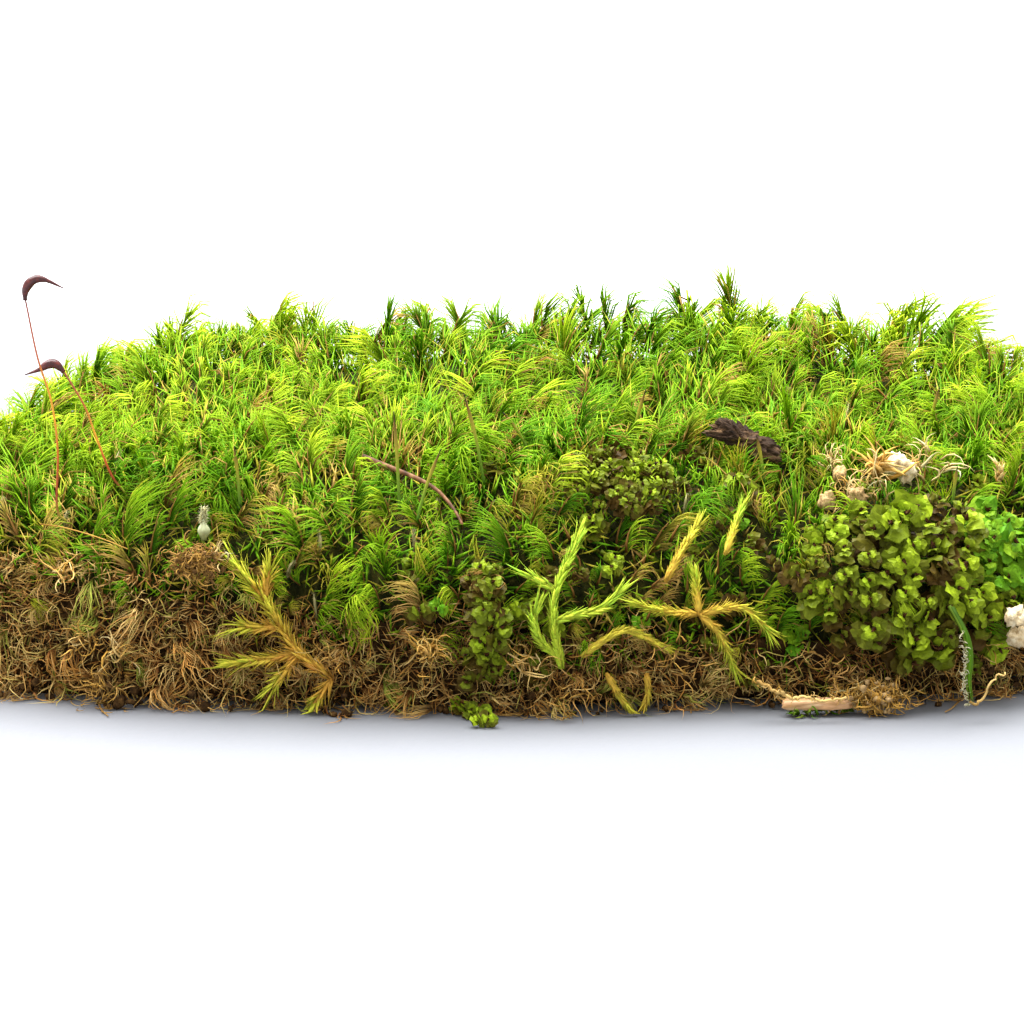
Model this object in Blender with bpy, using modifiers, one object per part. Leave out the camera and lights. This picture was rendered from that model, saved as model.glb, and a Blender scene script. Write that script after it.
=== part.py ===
"""A clump of forest moss, lifted off the ground, cut flat underneath and set on a level surface.

Run it with: blender --background --python part.py

Metres, +Z up. The origin is on the flat underside, below the middle of the clump. The front, where the
shoots are parted and the brown layer shows, faces -Y.
"""

import math

import bmesh
import bpy
from mathutils import Euler, Vector, noise
from mathutils.bvhtree import BVHTree

MM = 0.001

# The clump in plan.
HALF_LENGTH = 68 * MM
HALF_DEPTH = 40 * MM
MIDDLE = (-1.3 * MM, 0.3 * MM)
CORNER_ROUNDING = 0.75  # 0 is a rectangle, 1 is an ellipse
EDGE_WAVE = 2.2 * MM
EDGE_WAVE_SIZES = (26 * MM, 22 * MM)  # of its swells, along the front and along the back
CORNER_FROM = -42 * MM  # left of here the back corner of the clump is missing
CORNER_WIDTH = 22 * MM
CORNER_DEPTH = 30 * MM

# Heights.
CROWN_FRONT = 23.0 * MM  # of the turf between the shoots, at the front
CROWN_BACK = 26.0 * MM
CROWN_RUN = 44 * MM  # it rises from the one to the other over this depth
CROWN_SWELL = 3.6 * MM  # a rise at the back, right of the middle
SWELL_MIDDLE = (22 * MM, 36 * MM)
SWELL_REACH = (17 * MM, 15 * MM)
LEFT_FALL = 2.6 * MM  # how much lower the left end is
LEFT_FALL_FROM = -34 * MM
LEFT_FALL_RUN = 16 * MM
CROWN_WAVE = 1.3 * MM
CROWN_WAVE_SIZE = 15 * MM
UNEVEN = 0.9 * MM  # from one cell of the turf to the next
UNEVEN_SIZE = 4 * MM
RIM_WALL = 3.4 * MM  # the turf's own thickness at its rim
SPLIT_MIDDLE = 8.5 * MM  # where the green gives way to the brown
SPLIT_SLOPE = -0.07
FRONT_SLOPE = 21 * MM  # how far in the turf reaches its full height
SIDE_SLOPE = 18 * MM
BACK_SLOPE = 15 * MM

# Shoots of the turf, drawn as one leaning point on each cell of its surface.
CELLS_ALONG = 34
CELLS_ACROSS = 22
CELL_JITTER = 1.3
SHOOT_HEIGHT = 3.6 * MM
SHOOT_LEAN = 1.3 * MM
SHRUG_SIZE = 0.05 * MM  # places nearer together than this are drawn the same height
LEAN_SWIRL = 24 * MM  # shoots nearer together than this lean much the same way

# The brown mat.
MAT_INSET = 0.975
MAT_CELLS = 92
MAT_RINGS = (0.0, 0.36, 0.72, 1.0)  # heights of its side, as shares of its thickness
MAT_UNEVEN = 0.012
MAT_TUFT = 2.0 * MM
MAT_DROOP = 1.0 * MM
FOOT_INSET = 0.86  # the part of the underside that is flat on the ground
FOOT_LIFT = 1.6 * MM
FOOT_LIFT_SIZE = 13 * MM
FOOT_LIFT_RIGHT = 1.2 * MM  # more, from here to the right
FOOT_LIFT_RIGHT_FROM = 12 * MM

GAP = 0.3 * MM  # between two pieces that touch
BED_REACH = 3.1 * MM  # no tuft is drawn on a cell this near to a piece that lies on it

# The middle of the fan by which pieces are set on the front: it runs along X inside the clump.
FAN_Y = -16 * MM
FAN_Z = 7 * MM
OUTSIDE = 90 * MM

# Patches of liverwort on the front: middle along X, half width, middle and half of the fan's angle in
# degrees, how far out its back and its front are, and cells around.
LIVERWORT = {
    "liverwort_right": (45.5 * MM, 18.5 * MM, 17.5, 23, 1.9 * MM, 4.9 * MM, 30),
    "liverwort_middle": (11.0 * MM, 6.0 * MM, 46.5, 13, 0.9 * MM, 3.1 * MM, 14),
    "liverwort_low": (-2.7 * MM, 1.9 * MM, 6, 15, 1.5 * MM, 3.0 * MM, 12),
}
LIVERWORT_RINGS = (
    (0.35, 0.0), (0.68, 0.0), (0.95, 0.0), (1.0, 0.25), (0.86, 0.6), (0.62, 0.85), (0.32, 1.0)
)
LIVERWORT_LUMP = 1.1 * MM
HANGS_UNDER = 1.0  # degrees: lower than this a patch hangs straight down, clear of the brown mat
HANGS_PER_DEGREE = 0.4 * MM

# Spore stalks: x of the foot, then x and z in millimetres going up, all in one upright plane at this y.
STALKS = {
    "tall_stalk": (-32.5, [(-45.8, 19.8), (-45.6, 25.6), (-46.1, 30.6), (-47.4, 35.2), (-48.4, 40.5)]),
    "short_stalk": (-29.5, [(-40.6, 22.6), (-42.0, 26.4), (-43.1, 29.6), (-44.9, 32.8)]),
}
CAPSULES = {
    "tall_capsule": (-32.5, [(-48.5, 41.0), (-48.4, 42.0), (-47.7, 42.9), (-46.6, 43.0), (-44.6, 42.1)]),
    "short_capsule": (-29.5, [(-45.2, 33.2), (-45.9, 33.9), (-46.7, 33.9), (-47.5, 33.4), (-49.1, 32.8)]),
}
STALK_FEET = {"tall_stalk": -44.9, "short_stalk": -39.2}
STALK_RADII = (0.24 * MM, 0.17 * MM)
CAPSULE_RADII = (0.2 * MM, 0.48 * MM, 0.56 * MM, 0.3 * MM, 0.1 * MM)

# Young stalks: foot x, y and how far the tip stands over it along x and z, all in millimetres.
YOUNG_STALKS = (
    (-11.3, -33.6, -0.5, 9.2),
    (-9.4, -34.6, 2.2, 6.6),
    (-2.9, -28.6, -1.9, 8.5),
    (-27.3, -32.6, -0.5, 5.5),
    (1.6, -22.5, -2.4, 3.7),
    (12.5, -18.1, 1.3, 5.3),
    (43.9, -11.9, 1.0, 4.7),
    (25.6, -27.2, -0.8, 4.4),
    (44.6, -28.6, 0.4, 3.6),
)
FOOT_PROUD = 0.45 * MM  # a stalk's foot stands this far out from the turf
YOUNG_STALK_RADII = (0.22 * MM, 0.2 * MM)

# Sprigs on the front, as lines of x and z in millimetres. The first line is the stem, and each other one
# starts at a point of an earlier line.
SPRIGS = {
    "golden_shoot": [
        [(-18.0, 3.8), (-21.2, 6.3), (-23.0, 9.0), (-24.6, 11.9), (-27.4, 15.2)],
        [(-24.6, 11.9), (-24.1, 15.0)],
        [(-23.0, 9.0), (-27.3, 8.9)],
        [(-21.2, 6.3), (-27.6, 5.2)],
        [(-21.2, 6.3), (-23.9, 2.8)],
        [(-18.0, 3.8), (-19.8, 1.2)],
    ],
    "lime_shoot": [
        [(4.9, 5.2), (4.1, 10.2), (4.4, 13.2), (6.4, 17.6)],
        [(4.4, 13.2), (2.0, 14.6)],
        [(4.1, 10.2), (1.7, 11.4)],
        [(4.1, 10.2), (8.0, 12.0), (12.0, 14.2)],
    ],
    "olive_shoot": [
        [(18.6, 10.4), (22.9, 10.9), (25.8, 8.4)],
        [(18.6, 10.4), (14.6, 11.0), (12.4, 11.7)],
        [(18.6, 10.4), (18.3, 14.0)],
        [(18.6, 10.4), (20.6, 8.4), (22.4, 4.2)],
    ],
    "curved_shoot": [[(6.9, 6.4), (9.3, 8.3), (11.6, 9.0), (15.2, 7.0)]],
    "upright_shoot_left": [[(15.2, 13.6), (16.9, 16.4), (18.6, 18.6)]],
    "upright_shoot_right": [[(21.3, 15.9), (22.2, 18.0), (23.1, 19.9)]],
    "short_shoot_left": [[(9.4, 4.6), (10.4, 2.8), (11.6, 1.0)]],
    "short_shoot_right": [[(13.4, 4.4), (13.6, 2.7), (13.3, 1.2)]],
}
SPRIG_STEM = 0.75 * MM
SPRIG_TIP = 0.35 * MM
SPRIG_PROUD = 1.5 * MM
SPRIG_VOXEL = 0.3 * MM
SPRIG_FACES_KEPT = 0.09

NEEDLE = ((-15.1, -28.0), (-11.8, -29.5), (-8.7, -31.8), (-6.5, -34.3), (-4.8, -37.1))
NEEDLE_RADII = (0.32 * MM, 0.16 * MM)
NEEDLE_PROUD = 2.1 * MM

# Crumbs of dead wood on the slope: x, angle on the fan in degrees, half sizes in millimetres.
CRUMBS = (
    (39.6, 56, 1.6, 1.2, 1.2),
    (34.9, 42, 1.2, 1.0, 1.0),
    (31.8, 41, 1.0, 0.8, 0.8),
    (33.4, 53, 0.8, 0.7, 0.7),
    (50.5, 7, 1.1, 0.9, 1.0),
    (50.9, 0.5, 1.1, 0.9, 1.0),
)

# Bark chip, splinter and litter: places and sizes in millimetres, turns in degrees.
BARK_PLACE = (24.0, -23.6)
BARK_SIZES = (7.2, 2.8, 2.3)
BARK_TURN = (12, 24, -5)
SPLINTER_PLACE = (30.4, -39.6, 1.25)
SPLINTER_SIZES = (6.8, 1.4, 0.85)
SPLINTER_TURN = (0, 2, 3)
ROOT_TUFT_PLACE = (36.5, -39.4, 1.85)
ROOT_TUFT_HALF = (2.1, 1.4, 1.6)
LITTER_PLACE = (-31.4, 15.2)
LITTER_HALF = (3.0, 1.2, 1.6)
WHITE_BUD_PLACE = (-30.8, 18.9)
WHITE_BUD_HALF = (0.8, 0.7, 1.7)
BROWN_BUD_PLACE = (49.2, -23.6)
BROWN_BUD_HALF = (0.55, 0.45, 1.3)

# Two leaves, as lines in millimetres: the dead one from its foot, the strap in the clump's own frame.
DEAD_LEAF_FOOT = (36.5, -28.0)
DEAD_LEAF = ((0, 0, 0), (0.7, -0.4, 1.4), (0.7, -0.6, 2.9), (-0.3, -0.4, 4.0))
STRAP = ((44.3, -42.0, 10.4), (45.2, -42.6, 6.6), (45.9, -42.6, 2.4))
LEAF_WIDTH = 1.4 * MM
LEAF_THICKNESS = 0.3 * MM


def clear_scene():
    for obj in list(bpy.data.objects):
        bpy.data.objects.remove(obj, do_unlink=True)


def collection(name):
    made = bpy.data.collections.new(name)
    bpy.context.scene.collection.children.link(made)
    return made


def material(name, colour, roughness, metallic=0.0):
    made = bpy.data.materials.new(name)
    made.use_nodes = True
    shader = made.node_tree.nodes["Principled BSDF"]
    shader.inputs["Base Color"].default_value = (*colour, 1.0)
    shader.inputs["Roughness"].default_value = roughness
    shader.inputs["Metallic"].default_value = metallic
    return made


def smooth(t):
    t = min(max(t, 0.0), 1.0)
    return t * t * (3 - 2 * t)


def wobble(x, y, size, seed):
    """Smooth noise from -1 to 1 whose swells are about this size."""
    return noise.noise(Vector((x / size, y / size, 7.3 * seed)))


def shrug(place):
    """A number from 0 to 1 that jumps from one place to the next, the same on each run."""
    return noise.cell(place / SHRUG_SIZE)


def depth_limits(u):
    """How far the clump reaches to the front and to the back at u."""
    half = HALF_DEPTH * math.sqrt(1 - CORNER_ROUNDING * u * u / 2)
    x = HALF_LENGTH * u
    front = -half + EDGE_WAVE * wobble(x, 0, EDGE_WAVE_SIZES[0], 1)
    back = half + EDGE_WAVE * wobble(x, 0, EDGE_WAVE_SIZES[1], 2)
    back -= CORNER_DEPTH * smooth((CORNER_FROM - x) / CORNER_WIDTH)
    return front, back


def plan(u, v):
    """A square of -1 to 1 drawn out to the clump's plan, an uneven rounded rectangle."""
    x = HALF_LENGTH * u * math.sqrt(1 - CORNER_ROUNDING * v * v / 2)
    front, back = depth_limits(u)
    y = (front + back) / 2 + v * (back - front) / 2
    return MIDDLE[0] + x, MIDDLE[1] + y


def rise(distance, width):
    """A quarter of a circle: 0 at the rim and 1 from width inwards."""
    t = min(max(distance / width, 0.0), 1.0)
    return math.sqrt(t * (2 - t))


def split(x):
    return SPLIT_MIDDLE + SPLIT_SLOPE * x


def crown(x, y):
    """Height of the turf between its shoots, well inside its rim."""
    height = CROWN_FRONT + (CROWN_BACK - CROWN_FRONT) * smooth(0.5 + y / CROWN_RUN)
    far_x = (x - SWELL_MIDDLE[0]) / SWELL_REACH[0]
    far_y = (y - SWELL_MIDDLE[1]) / SWELL_REACH[1]
    height += CROWN_SWELL * math.exp(-far_x * far_x - far_y * far_y)
    height -= LEFT_FALL * smooth((LEFT_FALL_FROM - x) / LEFT_FALL_RUN)
    return height + CROWN_WAVE * wobble(x, y, CROWN_WAVE_SIZE, 3)


def turf_point(u, v):
    """A point of the turf's surface between its shoots."""
    x, y = plan(u, v)
    front, back = depth_limits(u)
    up = rise((1 - abs(u)) * HALF_LENGTH, SIDE_SLOPE)
    up *= rise((1 + v) / 2 * (back - front), FRONT_SLOPE)
    up *= rise((1 - v) / 2 * (back - front), BACK_SLOPE)
    rim = split(x) + RIM_WALL
    return Vector((x, y, rim + (crown(x, y) - rim) * up))


def add_object(name, mesh, finish, home):
    obj = bpy.data.objects.new(name, mesh)
    obj.data.materials.append(finish)
    home.objects.link(obj)
    return obj


def mesh_of(bm, name):
    """Turns a closed bmesh into a mesh with its faces pointing out."""
    bmesh.ops.recalc_face_normals(bm, faces=bm.faces)
    mesh = bpy.data.meshes.new(name)
    bm.to_mesh(mesh)
    bm.free()
    return mesh


def poke_tufts(bm, faces, height, lean):
    """Raises each face to a point of uneven height, which also leans by the vector lean."""
    cells = [(face.calc_center_median(), face.normal.copy()) for face in faces]
    tips = bmesh.ops.poke(bm, faces=faces)["verts"]
    for tip, (middle, normal) in zip(tips, cells):
        share = 0.65 + 0.6 * shrug(middle)
        tip.co = middle + share * (height * normal + lean(middle))
        tip.co.z = max(tip.co.z, 0.1 * MM)


def spread(t):
    """Draws a grid closer together towards its edges, where the surface is steep."""
    return 1.25 * t - 0.25 * t**3


def turf_body():
    """The turf without its shoots: a domed grid with a short wall and a flat bottom."""
    bm = bmesh.new()
    bmesh.ops.create_grid(bm, x_segments=CELLS_ALONG, y_segments=CELLS_ACROSS, size=1)
    rim = [edge for edge in bm.edges if edge.is_boundary]
    on_rim = {vert for edge in rim for vert in edge.verts}
    for vert in bm.verts:
        u, v = spread(vert.co.x), spread(vert.co.y)
        if vert not in on_rim:
            u += CELL_JITTER / CELLS_ALONG * wobble(u, v, 0.05, 4)
            v += CELL_JITTER / CELLS_ACROSS * wobble(v, u, 0.05, 5)
        vert.co = turf_point(u, v)
        vert.co.z += UNEVEN * wobble(vert.co.x, vert.co.y, UNEVEN_SIZE, 6)
    wall = bmesh.ops.extrude_edge_only(bm, edges=rim)["geom"]
    for item in wall:
        if isinstance(item, bmesh.types.BMVert):
            item.co.z = split(item.co.x) + GAP
    bmesh.ops.contextual_create(bm, geom=[edge for edge in bm.edges if edge.is_boundary])
    bmesh.ops.recalc_face_normals(bm, faces=bm.faces)
    return bm


def shoot_lean(middle):
    turn = math.pi * wobble(middle.x, middle.y, LEAN_SWIRL, 7)
    return SHOOT_LEAN * Vector((math.cos(turn), math.sin(turn), 0.6))


def outline_point(turn, inset):
    """A point of the plan's outline, drawn in towards the middle by this share."""
    along, across = math.cos(turn), math.sin(turn)
    reach = inset / max(abs(along), abs(across))
    return plan(along * reach, across * reach)


def loft(rings):
    """A closed skin over rings of points, each with as many points, with flat ends."""
    bm = bmesh.new()
    rows = [[bm.verts.new(point) for point in ring] for ring in rings]
    for lower, upper in zip(rows, rows[1:]):
        for i in range(len(lower)):
            j = (i + 1) % len(lower)
            bm.faces.new((lower[i], lower[j], upper[j], upper[i]))
    bm.faces.new(reversed(rows[0]))
    bm.faces.new(rows[-1])
    return bm


def mat_body():
    """The brown mat without its tufts: level underneath, with its edge a little off the ground."""
    turns = [2 * math.pi * (i + 0.5) / MAT_CELLS for i in range(MAT_CELLS)]
    rings = [[Vector((*outline_point(turn, FOOT_INSET), 0)) for turn in turns]]
    for row, share in enumerate(MAT_RINGS):
        ring = []
        for i, turn in enumerate(turns):
            inset = MAT_INSET
            if 0 < row < len(MAT_RINGS) - 1:
                inset += MAT_UNEVEN * wobble(i, row, 2.6, 9)
            x, y = outline_point(turn, inset)
            lift = FOOT_LIFT * (0.55 + 0.45 * wobble(x, y, FOOT_LIFT_SIZE, 8))
            lift += FOOT_LIFT_RIGHT * smooth(x / FOOT_LIFT_RIGHT_FROM - 1)
            ring.append(Vector((x, y, lift + share * (split(x) - lift))))
        rings.append(ring)
    return loft(rings)


def mat_droop(middle):
    return Vector((0, 0, -min(MAT_DROOP, 0.4 * middle.z)))


def tufted(name, bm, height, lean, beds, finish, home):
    """A body with a tuft on each of its cells, except where another piece beds down on it."""
    bmesh.ops.recalc_face_normals(bm, faces=bm.faces)
    cells = []
    for face in bm.faces:
        middle = face.calc_center_median()
        free = beds.find_nearest(middle)[3] > BED_REACH
        if len(face.verts) == 4 and face.normal.z > -0.7 and free:
            cells.append(face)
    poke_tufts(bm, cells, height, lean)
    return add_object(name, mesh_of(bm, name), finish, home)


def tree_of(pieces):
    """A tree of the faces of all these objects, as their modifiers leave them."""
    bpy.context.view_layer.update()
    graph = bpy.context.evaluated_depsgraph_get()
    joined = bmesh.new()
    for piece in pieces:
        mesh = bpy.data.meshes.new_from_object(piece.evaluated_get(graph), depsgraph=graph)
        mesh.transform(piece.matrix_world)
        joined.from_mesh(mesh)
        bpy.data.meshes.remove(mesh)
    return BVHTree.FromBMesh(joined)


def solid_tree(bodies):
    """A tree that finds where a ray meets any of these bodies."""
    joined = bmesh.new()
    for body in bodies:
        mesh = bpy.data.meshes.new("body")
        body.to_mesh(mesh)
        joined.from_mesh(mesh)
        bpy.data.meshes.remove(mesh)
    return BVHTree.FromBMesh(joined)


def on_front(tree, x, z, proud):
    """The point this far out from the front of the clump at x, z."""
    hit = tree.ray_cast(Vector((x, -OUTSIDE, z)), Vector((0, 1, 0)))[0]
    return hit - Vector((0, proud, 0))


def on_top(tree, x, y, proud):
    """The point this far out from the top of the clump at x, y."""
    hit, normal = tree.ray_cast(Vector((x, y, OUTSIDE)), Vector((0, 0, -1)))[:2]
    return hit + proud * normal


def on_fan(tree, x, degrees, proud):
    """The point this far out from the front slope along the fan's ray at this angle."""
    angle = math.radians(degrees)
    out = Vector((0, -math.cos(angle), math.sin(angle)))
    middle = Vector((x, FAN_Y, FAN_Z))
    return tree.ray_cast(middle + OUTSIDE * out, -out)[0] + proud * out


def curve_through(points, steps):
    """Points of a smooth curve through these (Catmull-Rom), steps to each stretch."""
    ends = [2 * points[0] - points[1], *points, 2 * points[-1] - points[-2]]
    path = []
    for a, b, c, d in zip(ends, ends[1:], ends[2:], ends[3:]):
        for step in range(steps):
            t = step / steps
            bend = (c - a) * t + (2 * a - 5 * b + 4 * c - d) * t * t
            path.append(b + 0.5 * (bend + (3 * b - a - 3 * c + d) * t**3))
    return [*path, points[-1]]


def tube(name, points, radii, finish, home, steps=2, sides=2):
    """A round stem along a smooth curve, with its radius read from radii along its length."""
    path = curve_through(points, steps)
    curve = bpy.data.curves.new(name, "CURVE")
    curve.dimensions = "3D"
    curve.use_fill_caps = True
    curve.bevel_depth = max(radii)
    curve.bevel_resolution = sides
    line = curve.splines.new("POLY")
    line.points.add(len(path) - 1)
    for i, place in enumerate(path):
        along = i / (len(path) - 1) * (len(radii) - 1)
        low = min(int(along), len(radii) - 2)
        radius = radii[low] + (radii[low + 1] - radii[low]) * (along - low)
        line.points[i].co = (*place, 1.0)
        line.points[i].radius = radius / max(radii)
    return add_object(name, curve, finish, home)


def upright(y, places):
    return [Vector((x, y, z)) * MM for x, z in places]


def sprig(name, lines, tree, finish, home):
    """A sprig of feather moss: its lines of points with a skin around them, thinner at the tips."""
    places, edges = [], []
    for line in lines:
        here = [places.index(place) if place in places else None for place in line]
        for i, place in enumerate(line):
            if here[i] is None:
                here[i] = len(places)
                places.append(place)
        edges += list(zip(here, here[1:]))
    mesh = bpy.data.meshes.new(name)
    points = [on_front(tree, x * MM, z * MM, SPRIG_PROUD) for x, z in places]
    mesh.from_pydata(points, edges, [])
    obj = add_object(name, mesh, finish, home)
    obj.modifiers.new("Skin", "SKIN")
    uses = [sum(i in edge for edge in edges) for i in range(len(places))]
    for i, corner in enumerate(mesh.skin_vertices[0].data):
        radius = SPRIG_TIP if uses[i] == 1 and i else SPRIG_STEM
        corner.radius = (radius, radius)
        corner.use_root = i == 0
    whole = obj.modifiers.new("One skin", "REMESH")
    whole.mode = "VOXEL"
    whole.voxel_size = SPRIG_VOXEL
    fewer = obj.modifiers.new("Fewer faces", "DECIMATE")
    fewer.ratio = SPRIG_FACES_KEPT
    return obj


def liverwort(name, sizes, tree, finish, home):
    """A cushion of liverwort that follows the front slope, with a lump on each cell."""
    middle, half, angle, half_angle, back, front, cells = sizes
    rings = []
    for share, outwards in LIVERWORT_RINGS:
        ring = []
        for i in range(cells):
            turn = 2 * math.pi * i / cells
            reach = share * (1 + 0.12 * wobble(3 * math.cos(turn), 3 * math.sin(turn), 2, cells))
            x = middle + half * reach * math.cos(turn)
            fan = angle + half_angle * reach * math.sin(turn)
            place = on_fan(tree, x, max(fan, HANGS_UNDER), back + outwards * (front - back))
            place.z += min(fan - HANGS_UNDER, 0.0) * HANGS_PER_DEGREE
            ring.append(place)
        rings.append(ring)
    bm = loft(rings)
    bmesh.ops.recalc_face_normals(bm, faces=bm.faces)
    bm.verts.ensure_lookup_table()
    under = set(bm.verts[:3 * cells])
    lumps = [face for face in bm.faces if len(face.verts) == 4 and not under & set(face.verts)]
    poke_tufts(bm, lumps, LIVERWORT_LUMP, lambda middle: Vector((0, 0, 0)))
    return add_object(name, mesh_of(bm, name), finish, home)


def lump(name, place, half_sizes, finish, home, roughness):
    """A rough grain: a ball drawn out to these half sizes with its surface pushed in and out."""
    bm = bmesh.new()
    bmesh.ops.create_icosphere(bm, subdivisions=2, radius=1)
    for vert in bm.verts:
        rough = 1 + roughness * noise.noise(1.7 * vert.co + 50 * place)
        vert.co = Vector([rough * c * half for c, half in zip(vert.co, half_sizes)])
    obj = add_object(name, mesh_of(bm, name), finish, home)
    obj.location = place
    return obj


def chip(name, place, sizes, turn, taper, finish, home):
    """A broken flat piece: a box cut into cells, thinner towards one end, with uneven faces."""
    bm = bmesh.new()
    bmesh.ops.create_cube(bm, size=1)
    bmesh.ops.subdivide_edges(bm, edges=bm.edges, cuts=2, use_grid_fill=True)
    for vert in bm.verts:
        thin = 1 - taper * (vert.co.x + 0.5)
        uneven = 1 + 0.35 * noise.noise(4 * vert.co + 90 * place)
        vert.co = Vector((vert.co.x * sizes[0], *(
            c * size * thin * uneven for c, size in zip(vert.co.yz, sizes[1:]))))
    obj = add_object(name, mesh_of(bm, name), finish, home)
    obj.location = place
    obj.rotation_euler = Euler([math.radians(angle) for angle in turn])
    return obj


def strip(name, points, across, finish, home):
    """A leaf: a ribbon that narrows to both ends along a smooth curve, made solid."""
    path = curve_through(points, 3)
    bm = bmesh.new()
    rows = []
    for i, place in enumerate(path):
        share = i / (len(path) - 1)
        half = 0.5 * LEAF_WIDTH * (0.25 + 0.75 * math.sin(math.pi * min(share * 1.15, 1.0)))
        rows.append([bm.verts.new(place + side * half * across) for side in (-1, 0, 1)])
    for low, high in zip(rows, rows[1:]):
        for i in (0, 1):
            bm.faces.new((low[i], low[i + 1], high[i + 1], high[i]))
    obj = add_object(name, mesh_of(bm, name), finish, home)
    wall = obj.modifiers.new("Solidify", "SOLIDIFY")
    wall.thickness = LEAF_THICKNESS
    wall.offset = 0
    return obj


def in_metres(sizes):
    return [size * MM for size in sizes]


def loose_pieces(tree, patches, pale_wood, bark, red_moss, dead, green, home):
    """Crumbs, chips, buds and leaves that lie on the clump, and what hangs out at its foot."""
    made = []
    for number, (x, angle, *half) in enumerate(CRUMBS, 1):
        on_patch = angle < 40
        proud = 1.25 * half[1] * MM + GAP
        place = on_fan(patches if on_patch else tree, x * MM, angle, proud)
        name = f"cream_crumb_{number}"
        made.append(lump(name, place, in_metres(half), pale_wood, home, 0.4))
    place = on_top(tree, *in_metres(BARK_PLACE), BARK_SIZES[2] * MM)
    made.append(chip("bark_chip", place, in_metres(BARK_SIZES), BARK_TURN, 0.25, bark, home))
    place = Vector(in_metres(SPLINTER_PLACE))
    sizes = in_metres(SPLINTER_SIZES)
    made.append(chip("wood_splinter", place, sizes, SPLINTER_TURN, 0.1, pale_wood, home))
    place = Vector(in_metres(ROOT_TUFT_PLACE))
    made.append(lump("root_tuft", place, in_metres(ROOT_TUFT_HALF), red_moss, home, 0.35))
    place = on_front(tree, *in_metres(LITTER_PLACE), 1.3 * LITTER_HALF[1] * MM + GAP)
    made.append(lump("red_litter", place, in_metres(LITTER_HALF), red_moss, home, 0.3))
    place = on_front(tree, *in_metres(WHITE_BUD_PLACE), 3.1 * WHITE_BUD_HALF[1] * MM)
    made.append(lump("white_bud", place, in_metres(WHITE_BUD_HALF), pale_wood, home, 0.1))
    place = on_top(tree, *in_metres(BROWN_BUD_PLACE), 1.5 * BROWN_BUD_HALF[2] * MM)
    made.append(lump("brown_bud", place, in_metres(BROWN_BUD_HALF), pale_wood, home, 0.1))
    foot = on_top(tree, *in_metres(DEAD_LEAF_FOOT), 2 * FOOT_PROUD)
    line = [foot + Vector(in_metres(step)) for step in DEAD_LEAF]
    made.append(strip("dead_leaf", line, Vector((0.8, 0.6, 0)), dead, home))
    line = [Vector(in_metres(place)) for place in STRAP]
    made.append(strip("strap_leaf", line, Vector((0.95, 0, 0.3)), green, home))
    return made


def main():
    clear_scene()
    clump = collection("moss_clump")
    green = material("green_moss", (0.25, 0.42, 0.04), 0.6)
    brown = material("brown_moss", (0.22, 0.12, 0.04), 0.85)
    olive = material("liverwort", (0.27, 0.33, 0.05), 0.55)
    gold = material("golden_moss", (0.62, 0.45, 0.08), 0.6)
    lime = material("lime_moss", (0.42, 0.58, 0.09), 0.6)
    red_stalk = material("stalk", (0.45, 0.16, 0.06), 0.5)
    maroon = material("capsule", (0.16, 0.03, 0.03), 0.45)
    needle = material("needle", (0.42, 0.2, 0.12), 0.6)
    bark = material("bark", (0.06, 0.035, 0.02), 0.9)
    pale_wood = material("pale_wood", (0.6, 0.42, 0.28), 0.8)
    dead = material("dead_leaf", (0.6, 0.33, 0.1), 0.7)
    red_moss = material("red_moss", (0.3, 0.13, 0.06), 0.85)

    tree = solid_tree((turf_body(), mat_body()))
    patches = [liverwort(name, sizes, tree, olive, clump) for name, sizes in LIVERWORT.items()]
    fine = []
    for name, (y, places) in STALKS.items():
        foot = on_top(tree, STALK_FEET[name] * MM, y * MM, FOOT_PROUD)
        fine.append(tube(name, [foot, *upright(y, places)], STALK_RADII, red_stalk, clump))
    for name, (y, places) in CAPSULES.items():
        fine.append(tube(name, upright(y, places), CAPSULE_RADII, maroon, clump))
    for number, (x, y, lean, height) in enumerate(YOUNG_STALKS, 1):
        foot = on_top(tree, x * MM, y * MM, FOOT_PROUD)
        tip = foot + Vector((lean, 0, height)) * MM
        middle = (foot + tip) / 2 - Vector((0.12 * lean, 0, 0)) * MM
        name = f"young_stalk_{number}"
        fine.append(tube(name, [foot, middle, tip], YOUNG_STALK_RADII, red_stalk, clump, sides=1))
    for name, lines in SPRIGS.items():
        finish = lime if name in ("lime_shoot", "olive_shoot") else gold
        fine.append(sprig(name, lines, tree, finish, clump))
    route = [on_top(tree, x * MM, y * MM, NEEDLE_PROUD) for x, y in NEEDLE]
    fine.append(tube("pine_needle", route, NEEDLE_RADII, needle, clump, sides=1))
    fine += loose_pieces(tree, tree_of(patches), pale_wood, bark, red_moss, dead, lime, clump)
    beds = tree_of(patches + fine)
    tufted("moss_turf", turf_body(), SHOOT_HEIGHT, shoot_lean, beds, green, clump)
    tufted("brown_mat", mat_body(), MAT_TUFT, mat_droop, beds, brown, clump)


main()
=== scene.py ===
"""Dresses the plain solids of a clump of forest moss with leaves, threads and crumbs, and sets a pale stage.

Metres, +Z up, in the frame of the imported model. The front of the clump faces -Y. Every leaf, thread and lobe
is a closed surface worked out with numpy, many at once: a small patch with two parameters, or a profile that
is carried along a line. A leaf's tone is its place, from 0 to 1, along the row of colours of its finish.
"""

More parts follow.
